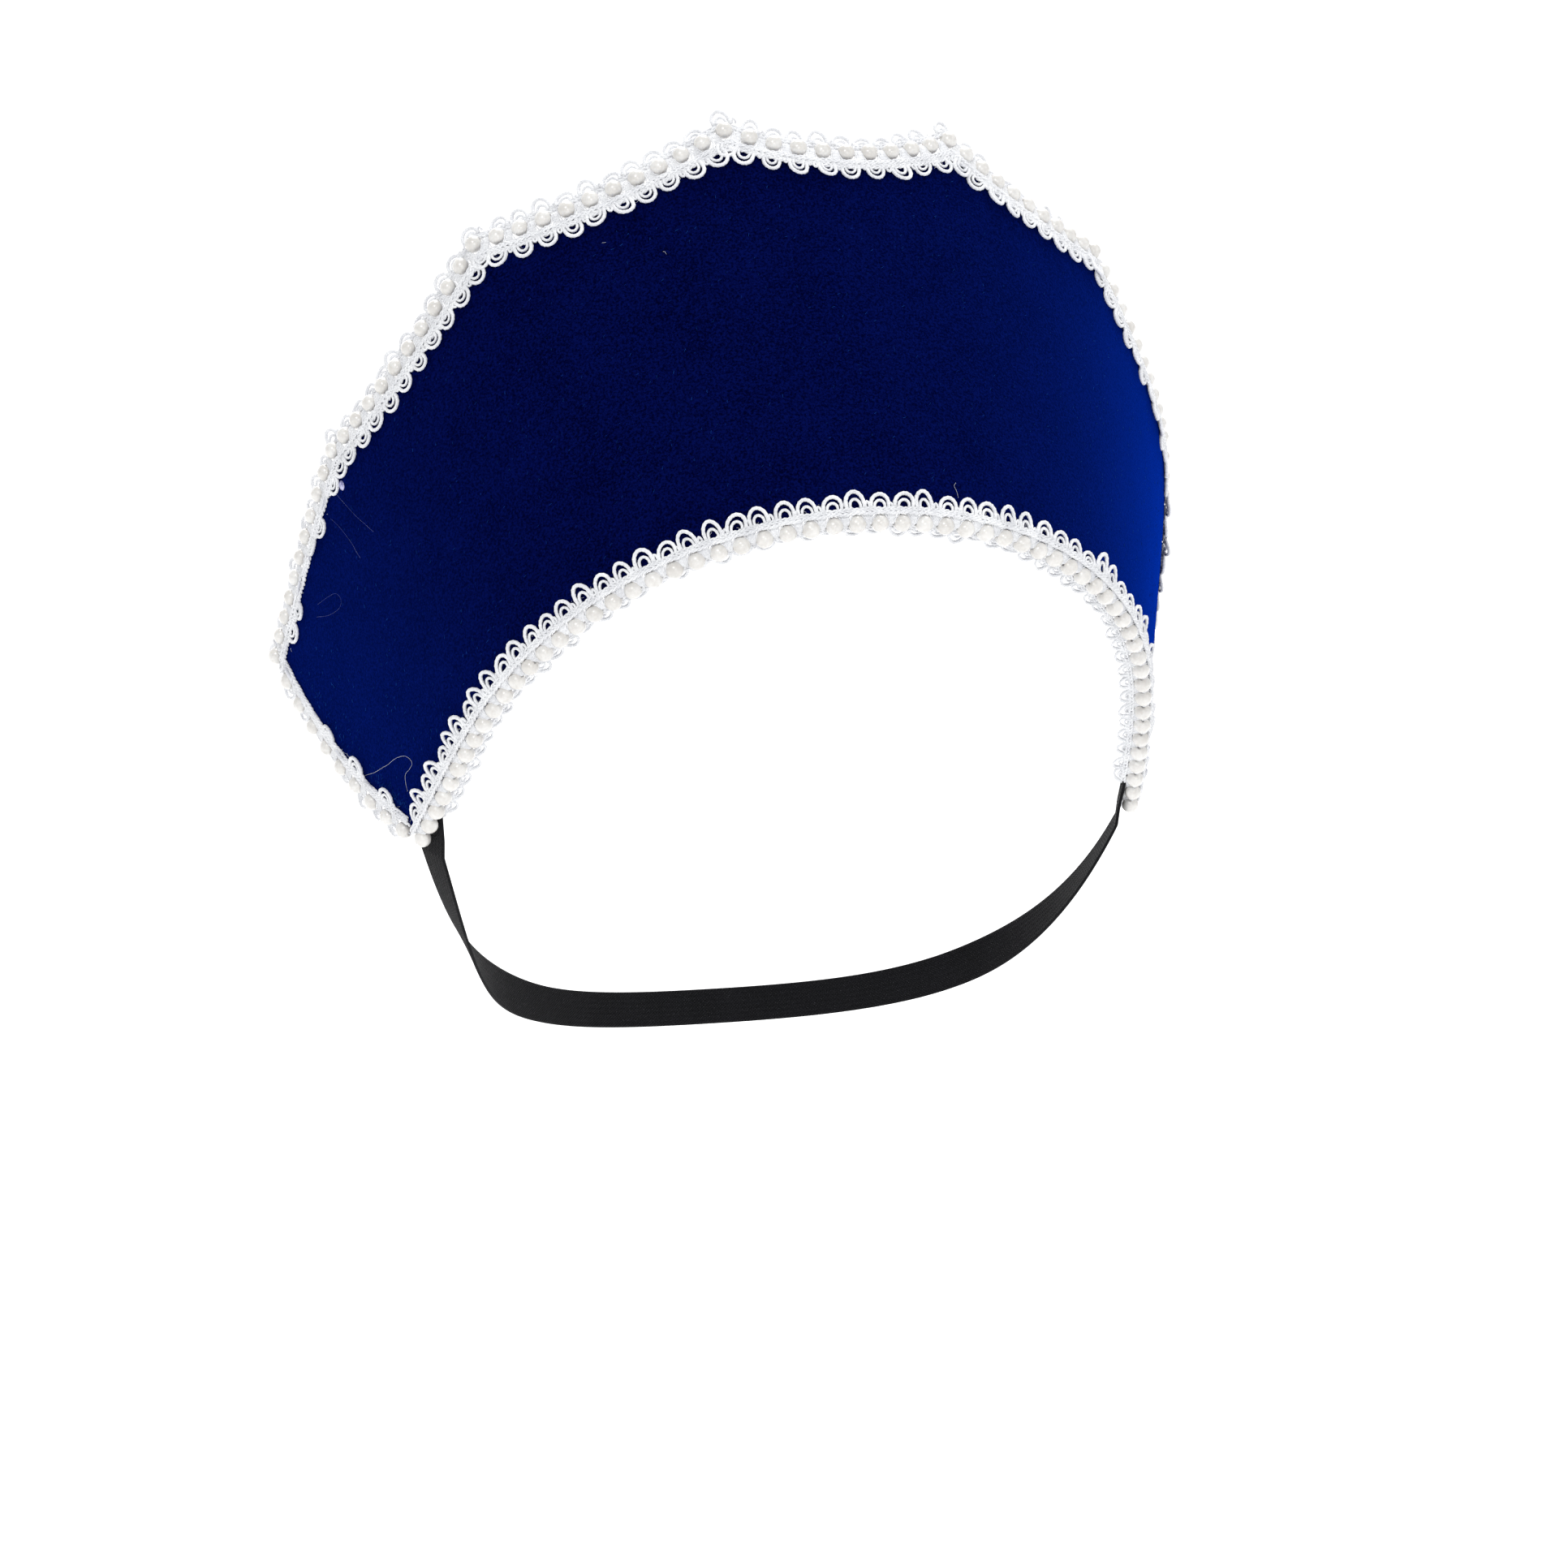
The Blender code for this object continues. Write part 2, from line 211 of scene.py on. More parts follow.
def bent(flat, depth):
    """Points of the flat pattern once it is bent, so deep behind the line of the pearls."""
    flat = np.asarray(flat, float)
    depth = np.broadcast_to(np.asarray(depth, float), flat.shape[:-1])
    side = np.where(flat[..., 0] < 0, -1.0, 1.0)
    across, up = np.abs(flat[..., 0]), flat[..., 1]
    station = np.arctan2(across, FAN_RADIUS + up) * FAN_RADIUS
    climb = np.hypot(across, FAN_RADIUS + up) - FAN_RADIUS
    columns = [np.interp(station, BEND_STATIONS, BEND_TABLE[:, k]) for k in range(9)]
    table = np.stack(columns, -1)
    rise, inward = one_long(table[..., 3:6]), one_long(table[..., 6:9])
    point = table[..., :3] + rise * climb[..., None] + inward * depth[..., None]
    point[..., 0] *= side
    return point @ STAND_UP.T + FRONT_RIM


def inner_rim(steps):
    """The flat inner rim from the left tip to the right one."""
    lengths = np.linspace(-1, 1, 2 * steps + 1) * (INNER_ARC_LENGTH + INNER_STRAIGHT)
    angle = np.minimum(np.abs(lengths), INNER_ARC_LENGTH) / INNER_ARC_RADIUS
    rest = np.maximum(np.abs(lengths) - INNER_ARC_LENGTH, 0.0)
    across = INNER_ARC_RADIUS * np.sin(angle) + rest * np.cos(angle)
    drop = INNER_ARC_RADIUS * (1.0 - np.cos(angle)) + rest * np.sin(angle)
    return np.stack((np.sign(lengths) * across, -drop), -1)


def outer_rim(steps):
    """The flat outer rim from the left tip to the right one, an arc from corner to corner."""
    tips = inner_rim(1)
    first = Corner(*tips[0], TIP_EDGE_DIP, TIP_EDGE_PEARLS)
    stations = (first,) + OUTER_CORNERS + (Corner(*tips[-1], 0.0, 0),)
    points = []
    for this, following in zip(stations, stations[1:]):
        start, end = np.array(this[:2]), np.array(following[:2])
        chord = np.linalg.norm(end - start)
        along = (end - start) / chord
        down = turned(along, -math.pi / 2)
        radius = (chord * chord / 4 + this.dip * this.dip) / (2 * this.dip)
        half = math.asin(chord / 2 / radius)
        for k in range(steps):
            angle = half * (2 * k / steps - 1)
            sink = radius * (math.cos(angle) - math.cos(half))
            middle = (start + end) / 2
            points.append(middle + along * radius * math.sin(angle) + down * sink)
    return np.array(points + [tips[-1]])


def miters(points, closed=False):
    """The way out of the cover at each point of a rim that runs with the cover on its right."""
    if closed:
        before = points - np.roll(points, 1, 0)
        ahead = np.roll(points, -1, 0) - points
    else:
        steps = np.diff(points, axis=0)
        before = np.vstack((steps[:1], steps))
        ahead = np.vstack((steps, steps[-1:]))
    left = turned(one_long(before), math.pi / 2)
    right = turned(one_long(ahead), math.pi / 2)
    return (left + right) / (1.0 + (left * right).sum(1, keepdims=True))


def lengths_along(points):
    return np.concatenate(([0.0], np.cumsum(np.linalg.norm(np.diff(points, axis=0), axis=1))))


def points_at(points, lengths, wanted):
    columns = [np.interp(wanted, lengths, points[:, k]) for k in range(points.shape[1])]
    return np.stack(columns, -1)


def distances_to(points, line):
    """How far each point lies from a closed line."""
    starts, steps = line[None], (np.roll(line, -1, 0) - line)[None]
    share = ((points[:, None] - starts) * steps).sum(2) / (steps * steps).sum(2)
    nearest = starts + steps * np.clip(share, 0.0, 1.0)[..., None]
    return np.linalg.norm(points[:, None] - nearest, axis=2).min(1)


def cover_rungs(inset):
    """Pairs of points on the inner and outer edge of a layer that is cut smaller by the inset,
    each pair on about the same straight line of the bend."""
    outer, inner = outer_rim(EDGE_STEPS), inner_rim(INNER_STEPS)
    loop = np.vstack((outer, inner[-2:0:-1]))
    moved = loop - miters(loop, closed=True) * inset
    clear = distances_to(moved, loop) > inset - 1e-5
    count = len(outer)
    outer_edge = moved[:count][clear[:count]]
    inner_edge = moved[count:][clear[count:]][::-1]
    inner_edge = np.vstack((outer_edge[:1], inner_edge, outer_edge[-1:]))
    lengths = lengths_along(inner_edge)
    inner_fan = np.arctan2(inner_edge[:, 0], FAN_RADIUS + inner_edge[:, 1])
    outer_fan = np.arctan2(outer_edge[:, 0], FAN_RADIUS + outer_edge[:, 1])
    order = np.argsort(inner_fan, kind="stable")
    matched = np.interp(outer_fan, inner_fan[order], lengths[order])
    low = np.argmin(np.linalg.norm(outer_edge - OUTER_CORNERS[0][:2], axis=1))
    high = np.argmin(np.linalg.norm(outer_edge - OUTER_CORNERS[-1][:2], axis=1))
    matched[:low] = matched[low] * np.linspace(0, 1, low, endpoint=False)
    spread = np.linspace(1, 0, len(matched) - high)[1:]
    matched[high + 1 :] = lengths[-1] - (lengths[-1] - matched[high]) * spread
    return points_at(inner_edge, lengths, matched), outer_edge


def ring_faces(rings, sides, base=0, closed=False):
    """Faces between rings of points, and over both ends unless the rings close on themselves."""
    faces = []
    for k in range(rings if closed else rings - 1):
        a, b = base + k * sides, base + (k + 1) % rings * sides
        for j in range(sides):
            after = (j + 1) % sides
            faces.append((a + j, a + after, b + after, b + j))
    if not closed:
        faces.append(tuple(range(base, base + sides))[::-1])
        faces.append(tuple(range(base + (rings - 1) * sides, base + rings * sides)))
    return faces


def smooth_mesh(name, points, faces, pattern=None, merge=False):
    """A smooth mesh with its faces outwards, and its flat pattern as a UV map in metres."""
    mesh = bpy.data.meshes.new(name)
    mesh.from_pydata([tuple(point) for point in points], [], faces)
    if pattern is not None:
        corners = np.array([loop.vertex_index for loop in mesh.loops])
        places = np.asarray(pattern)[corners]
        mesh.uv_layers.new(name="pattern").data.foreach_set("uv", places.ravel())
    solid = bmesh.new()
    solid.from_mesh(mesh)
    if merge:
        bmesh.ops.remove_doubles(solid, verts=solid.verts, dist=1e-6)
        bmesh.ops.dissolve_degenerate(solid, edges=solid.edges, dist=1e-7)
    bmesh.ops.recalc_face_normals(solid, faces=solid.faces)
    solid.to_mesh(mesh)
    solid.free()
    mesh.shade_smooth()
    return mesh


def layer_mesh(name, inset, front, back, rows):
    """One layer of the crescent with rounded edges, bent to shape."""
    low, high = cover_rungs(inset)
    middle, half = (front + back) / 2, (back - front) / 2
    turn = np.linspace(math.pi / 2, -math.pi / 2, EDGE_ROUNDING + 2)
    edge = [(-half * (1 - math.cos(a)), middle - half * math.sin(a)) for a in turn]
    face = np.linspace(0, 1, rows)[1:-1]
    section = [(share, 0.0, front) for share in face]
    section += [(1.0, reach, depth) for reach, depth in edge]
    section += [(share, 0.0, back) for share in face[::-1]]
    section += [(0.0, -reach, depth) for reach, depth in edge[::-1]]
    width = np.linalg.norm(high - low, axis=1, keepdims=True)
    outward = (high - low) / np.maximum(width, 1e-6)
    outward[0], outward[-1] = outward[1], outward[-2]
    share, reach, depth = np.array(section).T[..., None]
    room = np.minimum(width[:, None] / 2, abs(reach)) * np.sign(reach)
    flat = low[:, None] + (high - low)[:, None] * share + outward[:, None] * room
    points = bent(flat, depth[:, 0]).reshape(-1, 3)
    faces = ring_faces(len(low), len(section))
    return smooth_mesh(name, points, faces, flat.reshape(-1, 2), merge=True)


def link(tree, source, target):
    tree.links.new(source, target)


def add_node(tree, kind, inputs=(), **settings):
    """A node with its settings, each input given a value or linked to another node."""
    node = tree.nodes.new(kind)
    for key, value in settings.items():
        setattr(node, key, value)
    for key, value in dict(inputs).items():
        if isinstance(value, bpy.types.NodeSocket):
            link(tree, value, node.inputs[key])
        else:
            node.inputs[key].default_value = value
    return node


def new_group(name, kind, inputs, outputs):
    """A node group with named inputs and outputs, and what its two end nodes give and take."""
    group = bpy.data.node_groups.new(name, kind)
    for way, sockets in (("INPUT", inputs), ("OUTPUT", outputs)):
        for socket, sort in sockets.items():
            group.interface.new_socket(socket, in_out=way, socket_type="NodeSocket" + sort)
    given, out = add_node(group, "NodeGroupInput"), add_node(group, "NodeGroupOutput")
    return group, given.outputs, out.inputs


def speckle_group():
    """Colour and height of a surface made of countless short fibres: a fine mottle and a
    broader cloudiness."""
    group, given, out = new_group(
        "fibre_speckle", "ShaderNodeTree",
        {"Place": "Vector", "Fine": "Float", "Broad": "Float", "Cloud": "Float",
         "Low Colour": "Color", "High Colour": "Color"},
        {"Colour": "Color", "Height": "Float"},
    )
    fine = add_node(group, "ShaderNodeTexNoise", {
        "Vector": given["Place"], "Scale": given["Fine"], "Detail": 3.0, "Roughness": 0.7,
    })
    broad = add_node(group, "ShaderNodeTexNoise", {
        "Vector": given["Place"], "Scale": given["Broad"], "Detail": 2.0,
    })
    blend = add_node(group, "ShaderNodeMix", {
        0: given["Cloud"], 2: fine.outputs["Fac"], 3: broad.outputs["Fac"],
    }, data_type="FLOAT")
    ramp = add_node(group, "ShaderNodeMapRange", {
        "Value": blend.outputs[0], "From Min": 0.40, "From Max": 0.60,
    })
    mix = add_node(group, "ShaderNodeMix", {
        "Factor": ramp.outputs["Result"], 6: given["Low Colour"], 7: given["High Colour"],
    }, data_type="RGBA")
    link(group, mix.outputs[2], out["Colour"])
    link(group, fine.outputs["Fac"], out["Height"])
    return group


FIBRE_SPECKLE = speckle_group()
Mottle = namedtuple("Mottle", "material tree place height bump")


def mottled(name, fine, broad, cloud, low, high, depth, levels, pattern=False):
    """A material with the fibre mottle in its colour and bump, placed by the piece's own
    coordinates or by its flat pattern, and with these levels on its shader."""
    material, tree, shader = new_material(name)
    if pattern:
        place = add_node(tree, "ShaderNodeUVMap", uv_map="pattern").outputs["UV"]
    else:
        place = add_node(tree, "ShaderNodeTexCoord").outputs["Object"]
    speckle = add_node(tree, "ShaderNodeGroup", {
        "Place": place, "Fine": fine, "Broad": broad, "Cloud": cloud,
        "Low Colour": (*low, 1), "High Colour": (*high, 1),
    }, node_tree=FIBRE_SPECKLE).outputs
    bump = add_node(tree, "ShaderNodeBump", {
        "Strength": 1.0, "Distance": depth, "Height": speckle["Height"],
    })
    link(tree, speckle["Colour"], shader.inputs["Base Color"])
    link(tree, bump.outputs["Normal"], shader.inputs["Normal"])
    for socket, level in levels.items():
        shader.inputs[socket].default_value = level
    return Mottle(material, tree, place, speckle["Height"], bump.inputs["Height"])


velvet = mottled(
    "blue_velvet_pile", fine=1500.0, broad=60.0, cloud=0.12,
    low=VELVET_COLOUR, high=VELVET_LIGHT_COLOUR, depth=0.00012,
    levels={
        "Roughness": 0.95, "Specular IOR Level": 0.0, "Sheen Weight": 0.4,
        "Sheen Roughness": 0.45, "Sheen Tint": (0.0, 0.075, 1.0, 1),
    },
).material

velvet_mesh = layer_mesh("velvet_cover", VELVET_INSET, VELVET_FRONT, VELVET_BACK, VELVET_ROWS)
velvet_cover = add_object("velvet_cover", velvet_mesh, velvet)
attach(velvet_cover, "root")
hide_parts("velvet_plate")


# The lining: dark slate cloth in a plain weave, cut a little smaller than the velvet and glued
# over the turned-in edges at the back, where the head hides it.
LINING_FRONT = 0.0009
LINING_BACK = 0.0019
LINING_INSET = 0.0040
LINING_ROWS = 14
LINING_COLOUR = (0.026, 0.032, 0.056)
LINING_LIGHT_COLOUR = (0.050, 0.060, 0.100)
LINING_THREAD = 0.00045


def worked_out(tree, operation, *values):
    """A sum on numbers and sockets."""
    sum_node = add_node(tree, "ShaderNodeMath", enumerate(values), operation=operation)
    return sum_node.outputs[0]


def weave_group():
    """Height of a plain weave, by how many threads cross each metre of a UV map, times pi."""
    group, given, out = new_group(
        "plain_weave", "ShaderNodeTree",
        {"Place": "Vector", "Threads": "Float"}, {"Height": "Float"},
    )
    scaled = add_node(group, "ShaderNodeVectorMath", {
        0: given["Place"], "Scale": given["Threads"],
    }, operation="SCALE")
    split = add_node(group, "ShaderNodeSeparateXYZ", {0: scaled.outputs[0]})
    waves = [worked_out(group, "SINE", split.outputs[axis]) for axis in "XY"]
    product = worked_out(group, "MULTIPLY", *waves)
    link(group, worked_out(group, "MULTIPLY_ADD", product, 0.5, 0.5), out["Height"])
    return group


PLAIN_WEAVE = weave_group()


def raised(cloth, height, share):
    """The material of a mottle, once a share of another height is added to its bump."""
    total = worked_out(cloth.tree, "MULTIPLY_ADD", height, share, cloth.height)
    link(cloth.tree, total, cloth.bump)
    return cloth.material


def woven(cloth, thread, share):
    """A mottled cloth in a plain weave of so thick a thread."""
    weave = add_node(cloth.tree, "ShaderNodeGroup", {
        "Place": cloth.place, "Threads": math.pi / thread,
    }, node_tree=PLAIN_WEAVE)
    return raised(cloth, weave.outputs["Height"], share)


lining = woven(
    mottled(
        "slate_lining_weave", fine=900.0, broad=45.0, cloud=0.12,
        low=LINING_COLOUR, high=LINING_LIGHT_COLOUR, depth=0.00008,
        levels={"Roughness": 0.85, "Sheen Weight": 0.15}, pattern=True,
    ),
    LINING_THREAD, 2.0,
)

lining_mesh = layer_mesh("lining_cloth", LINING_INSET, LINING_FRONT, LINING_BACK, LINING_ROWS)
lining_cloth = add_object("lining_cloth", lining_mesh, lining)
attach(lining_cloth, "root")
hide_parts("back_lining")


def flat_facts(inset):
    """The rectangle that a layer of the crescent is cut from, and the layer's own area."""
    low, high = cover_rungs(inset)
    edge = np.vstack((low, high[::-1]))
    width, height = edge.max(0) - edge.min(0)
    following = np.roll(edge, -1, 0)
    area = abs((edge[:, 0] * following[:, 1] - edge[:, 1] * following[:, 0]).sum()) / 2
    return (float(width), float(height)), float(area)


velvet_size, velvet_area = flat_facts(VELVET_INSET)
lining_size, lining_area = flat_facts(LINING_INSET)


# The pearls: plastic beads with a pearly coat, pierced and strung on white thread. One string
# runs along the outer rim and takes in both tips, and one along the inner rim between them.
PEARL_RADIUS = 0.0025
PEARL_HOLE = 0.00045
OUTER_PEARLS_PROUD = 0.0006
PEARL_SIDES = 16
PEARL_ROWS = 12
PEARL_COLOUR = (0.64, 0.62, 0.59)
PEARL_LIGHT_COLOUR = (0.77, 0.76, 0.74)


def tube_mesh(name, paths, sides):
    """Closed tubes along paths, each a list of points with its radii. Each point of a tube
    keeps how far along it lies, for the twist of its threads."""
    points, faces, marks = [], [], []
    for path, radii in paths:
        path = np.asarray(path, float)
        ways = one_long(np.gradient(path, axis=0))
        side = np.cross(ways[0], (0.31, 0.27, 0.91))
        base, along = len(points), lengths_along(path)
        for k, (place, way) in enumerate(zip(path, ways)):
            side = side - way * side.dot(way)
            side /= np.linalg.norm(side)
            other = np.cross(way, side)
            for j in range(sides):
                angle = math.tau * j / sides
                points.append(place + (side * math.cos(angle) + other * math.sin(angle)) * radii[k])
                marks.append(along[k])
        faces += ring_faces(len(path), sides, base)
    mesh = smooth_mesh(name, points, faces)
    mesh.attributes.new("along", "FLOAT", "POINT").data.foreach_set("value", marks)
    return mesh


def rim_frames(rim, places, out, depth):
    """Where the rim's points lie at these lengths, so far out and so deep, with the way along
    the rim, the way out of it and the way towards the front, all bent to shape."""
    lengths = lengths_along(rim)
    nudge = 0.0004
    outward = points_at(miters(rim), lengths, places)
    here = points_at(rim, lengths, places) + outward * np.broadcast_to(out, places.shape)[:, None]
    outward = one_long(outward)
    way = turned(outward, -math.pi / 2)
    spot = bent(here, depth)
    along = bent(here + way * nudge, depth) - bent(here - way * nudge, depth)
    away = bent(here + outward * nudge, depth) - bent(here - outward * nudge, depth)
    nearer = bent(here, depth - nudge) - bent(here, depth + nudge)
    return spot, [one_long(axis) for axis in (along, away, nearer)]


def finished(tree, made, given, out):
    """Ends a geometry tree: what it made turned into real faces in the given finish."""
    real = add_node(tree, "GeometryNodeRealizeInstances", {"Geometry": made})
    finish = add_node(tree, "GeometryNodeSetMaterial", {
        "Geometry": real.outputs[0], "Material": given["Finish"],
    })
    link(tree, finish.outputs[0], out["Result"])
    return tree


def repeat_tree():
    """Sets one of three units on every point, turned as the point says, each a little askew
    and a little larger or smaller than the last."""
    tree, given, out = new_group(
        "set_along_rim", "GeometryNodeTree",
        {"Points": "Geometry", "First Unit": "Object", "Second Unit": "Object",
         "Third Unit": "Object", "Askew": "Float", "Size Spread": "Float",
         "Seed": "Int", "Finish": "Material"},
        {"Result": "Geometry"},
    )
    units = add_node(tree, "GeometryNodeJoinGeometry")
    for name in ("Third Unit", "Second Unit", "First Unit"):
        unit = add_node(tree, "GeometryNodeObjectInfo", {
            "Object": given[name], "As Instance": True,
        })
        link(tree, unit.outputs["Geometry"], units.inputs[0])
    cloud = add_node(tree, "GeometryNodeMeshToPoints", {"Mesh": given["Points"]})
    facing, stretch = (
        add_node(
            tree, "GeometryNodeInputNamedAttribute", {"Name": name}, data_type="FLOAT_VECTOR"
        ).outputs[0]
        for name in ("facing", "stretch")
    )
    kind = add_node(tree, "FunctionNodeRandomValue", {
        4: 0, 5: 2, "Seed": given["Seed"],
    }, data_type="INT")
    place = add_node(tree, "GeometryNodeInstanceOnPoints", {
        "Points": cloud.outputs["Points"], "Instance": units.outputs[0], "Pick Instance": True,
        "Instance Index": kind.outputs[2], "Rotation": facing, "Scale": stretch,
    })
    spread = add_node(tree, "FunctionNodeRandomValue", {
        0: (-1, -1, -1), 1: (1, 1, 1), "Seed": given["Seed"],
    }, data_type="FLOAT_VECTOR")
    askew = add_node(tree, "ShaderNodeVectorMath", {
        0: spread.outputs[0], "Scale": given["Askew"],
    }, operation="SCALE")
    turn = add_node(tree, "GeometryNodeRotateInstances", {
        "Instances": place.outputs["Instances"], "Rotation": askew.outputs[0],
    })
    low, high = (worked_out(tree, way, 1.0, given["Size Spread"]) for way in ("SUBTRACT", "ADD"))
    size = add_node(tree, "FunctionNodeRandomValue", {
        2: low, 3: high, "Seed": given["Seed"],
    }, data_type="FLOAT")
    grow = add_node(tree, "GeometryNodeScaleInstances", {
        "Instances": turn.outputs[0], "Scale": size.outputs[1],
    })
    return finished(tree, grow.outputs[0], given, out)


SET_ALONG_RIM = repeat_tree()


def made_plain(item, tree, inputs):
    """Runs a geometry tree on an object and leaves its result as a plain mesh."""
    modifier = item.modifiers.new("made", "NODES")
    modifier.node_group = tree
    for socket in tree.interface.items_tree:
        if socket.item_type == "SOCKET" and socket.name in inputs:
            modifier[socket.identifier] = inputs[socket.name]
    item.update_tag()
    bpy.context.view_layer.update()
    graph = bpy.context.evaluated_depsgraph_get()
    made = bpy.data.meshes.new_from_object(item.evaluated_get(graph))
    item.modifiers.remove(modifier)
    old = item.data
    item.data = made
    made.name = item.name
    bpy.data.meshes.remove(old)
    for name in ("facing", "stretch"):
        if name in made.attributes:
            made.attributes.remove(made.attributes[name])
    return item


def unit_object(name, mesh):
    item = add_object(name, mesh)
    item.hide_render = True
    item.hide_viewport = True
    return item


def set_units(name, spots, axes, stretch, units, askew, spread, seed, finish):
    """Repeats units at the spots, turned to the axes, as one piece."""
    mesh = bpy.data.meshes.new(name)
    mesh.from_pydata(spots.tolist(), [], [])
    turns = [tuple(Matrix(np.stack(rows, 1).tolist()).to_euler()) for rows in zip(*axes)]
    flat = np.array(turns, float).ravel()
    sizes = np.broadcast_to(np.asarray(stretch, float), spots.shape).ravel()
    for label, values in (("facing", flat), ("stretch", sizes)):
        mesh.attributes.new(label, "FLOAT_VECTOR", "POINT").data.foreach_set("vector", values)
    inputs = {"Askew": askew, "Size Spread": spread, "Seed": seed, "Finish": finish}
    for k, order in enumerate(("First", "Second", "Third")):
        inputs[order + " Unit"] = units[k % len(units)]
    return made_plain(add_object(name, mesh), SET_ALONG_RIM, inputs)


def pearl_mesh():
    """A round bead on the axis of its thread, with a small pierced hole at each end."""
    polar = np.linspace(0.0, math.pi, PEARL_ROWS)
    lean = math.asin(PEARL_HOLE / PEARL_RADIUS)
    polar = lean + polar * (1 - 2 * lean / math.pi)
    rings = [(-PEARL_RADIUS * math.cos(a), PEARL_RADIUS * math.sin(a)) for a in polar]
    inside = PEARL_RADIUS * 0.6
    rings = [(-inside, PEARL_HOLE)] + rings + [(inside, PEARL_HOLE)]
    angles = [math.tau * j / PEARL_SIDES for j in range(PEARL_SIDES)]
    points = [(x, r * math.cos(a), r * math.sin(a)) for x, r in rings for a in angles]
    return smooth_mesh("pearl", points, ring_faces(len(rings), PEARL_SIDES, closed=True))


pearl_coat = mottled(
    "pearly_coat", fine=700.0, broad=130.0, cloud=0.5,
    low=PEARL_COLOUR, high=PEARL_LIGHT_COLOUR, depth=0.00001,
    levels={
        "Roughness": 0.30, "Specular IOR Level": 1.0, "Coat Weight": 0.8, "Coat Roughness": 0.17,
        "Subsurface Weight": 0.1, "Subsurface Radius": (0.0012, 0.0010, 0.0008),
    },
).material

OUTER_RIM = outer_rim(EDGE_STEPS)
INNER_RIM = inner_rim(INNER_STEPS)[::-1]
outer_lengths = lengths_along(OUTER_RIM)
corner_lengths = outer_lengths[::EDGE_STEPS]
edge_counts = [TIP_EDGE_PEARLS] + [corner.pearls for corner in OUTER_CORNERS]
outer_places = [0.0]
for start, end, count in zip(corner_lengths, corner_lengths[1:], edge_counts):
    outer_places += [start + (end - start) * (k + 1) / count for k in range(count)]
OUTER_PLACES = np.array(outer_places)
INNER_PLACES = np.linspace(0.0, lengths_along(INNER_RIM)[-1], INNER_PEARLS + 1)

pearl_unit = unit_object("pearl", pearl_mesh())
for name, node, rim, places, proud, seed in (
    ("outer_pearl_string", "outer_pearls", OUTER_RIM, OUTER_PLACES[1:-1], OUTER_PEARLS_PROUD, 3),
    ("inner_pearl_string", "inner_pearls", INNER_RIM, INNER_PLACES, 0.0, 4),
):
    spots, axes = rim_frames(rim, places, proud, -proud)
    beads = set_units(name, spots, axes, 1.0, [pearl_unit], 0.12, 0.02, seed, pearl_coat)
    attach(beads, "root")
    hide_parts(node)


# The braid: white gimp of twisted cotton cords, made in one length with the pearls along its
# middle. Each half has a band of cords, and by every pearl a small loop inside a big one, with
# a knot between neighbours. The front half lies on the velvet, and on the outer rim the back
# half stands out behind the pearls, while on the inner rim it is folded under.
FRONT_DEPTH = -0.00225
OUTER_BACK_ANGLE = math.radians(23.0)
INNER_BACK_ANGLE = math.radians(97.0)
PliedCord = namedtuple("PliedCord", "reach rise twist")
BAND_CORDS = (
    PliedCord(0.00130, -0.00020, -0.0030),
    PliedCord(0.00200, 0.00010, 0.0032),
    PliedCord(0.00270, -0.00005, -0.0027),
    PliedCord(0.00335, 0.00000, 0.0030),
)
STRAND_RADIUS = 0.00031
STRAND_OFFSET = 0.00026
STRAND_STEP = 0.00055
BIG_LOOP_FOOT = 0.0033
BIG_LOOP_TIP = 0.0080
BIG_LOOP_HALF = 0.0024
BIG_LOOP_RADIUS = 0.00056
SMALL_LOOP_TIP = 0.0060
SMALL_LOOP_HALF = 0.0014
SMALL_LOOP_RADIUS = 0.00043
KNOT_REACH = 0.0050
KNOT_HALF = 0.00050
KNOT_RADIUS = 0.00038
USUAL_STEP = 0.0066
GIMP_TWIST = 0.0009
GIMP_COLOUR = (0.74, 0.75, 0.78)
GIMP_LIGHT_COLOUR = (0.90, 0.91, 0.93)
LoopShape = namedtuple("LoopShape", "lean reach width rise")
LOOP_SHAPES = (
    LoopShape(0.0, 1.0, 1.0, 0.0006),
    LoopShape(0.0006, 0.92, 1.05, 0.0002),
    LoopShape(-0.0005, 1.05, 0.94, 0.0012),
)


def arch(half, foot, tip, lean, rise, steps):
    """A loop of cord from foot to foot, that bellies out over its feet and leans a little."""
    angles = np.linspace(0.0, math.pi, steps)
    x = half * np.cos(angles) * (1.0 + 0.14 * np.abs(np.sin(2 * angles)))
    y = foot + (tip - foot) * np.sin(angles) ** 0.85
    share = (y - foot) / (tip - foot)
    return np.stack((x + lean * share, y, rise * share**2), -1)


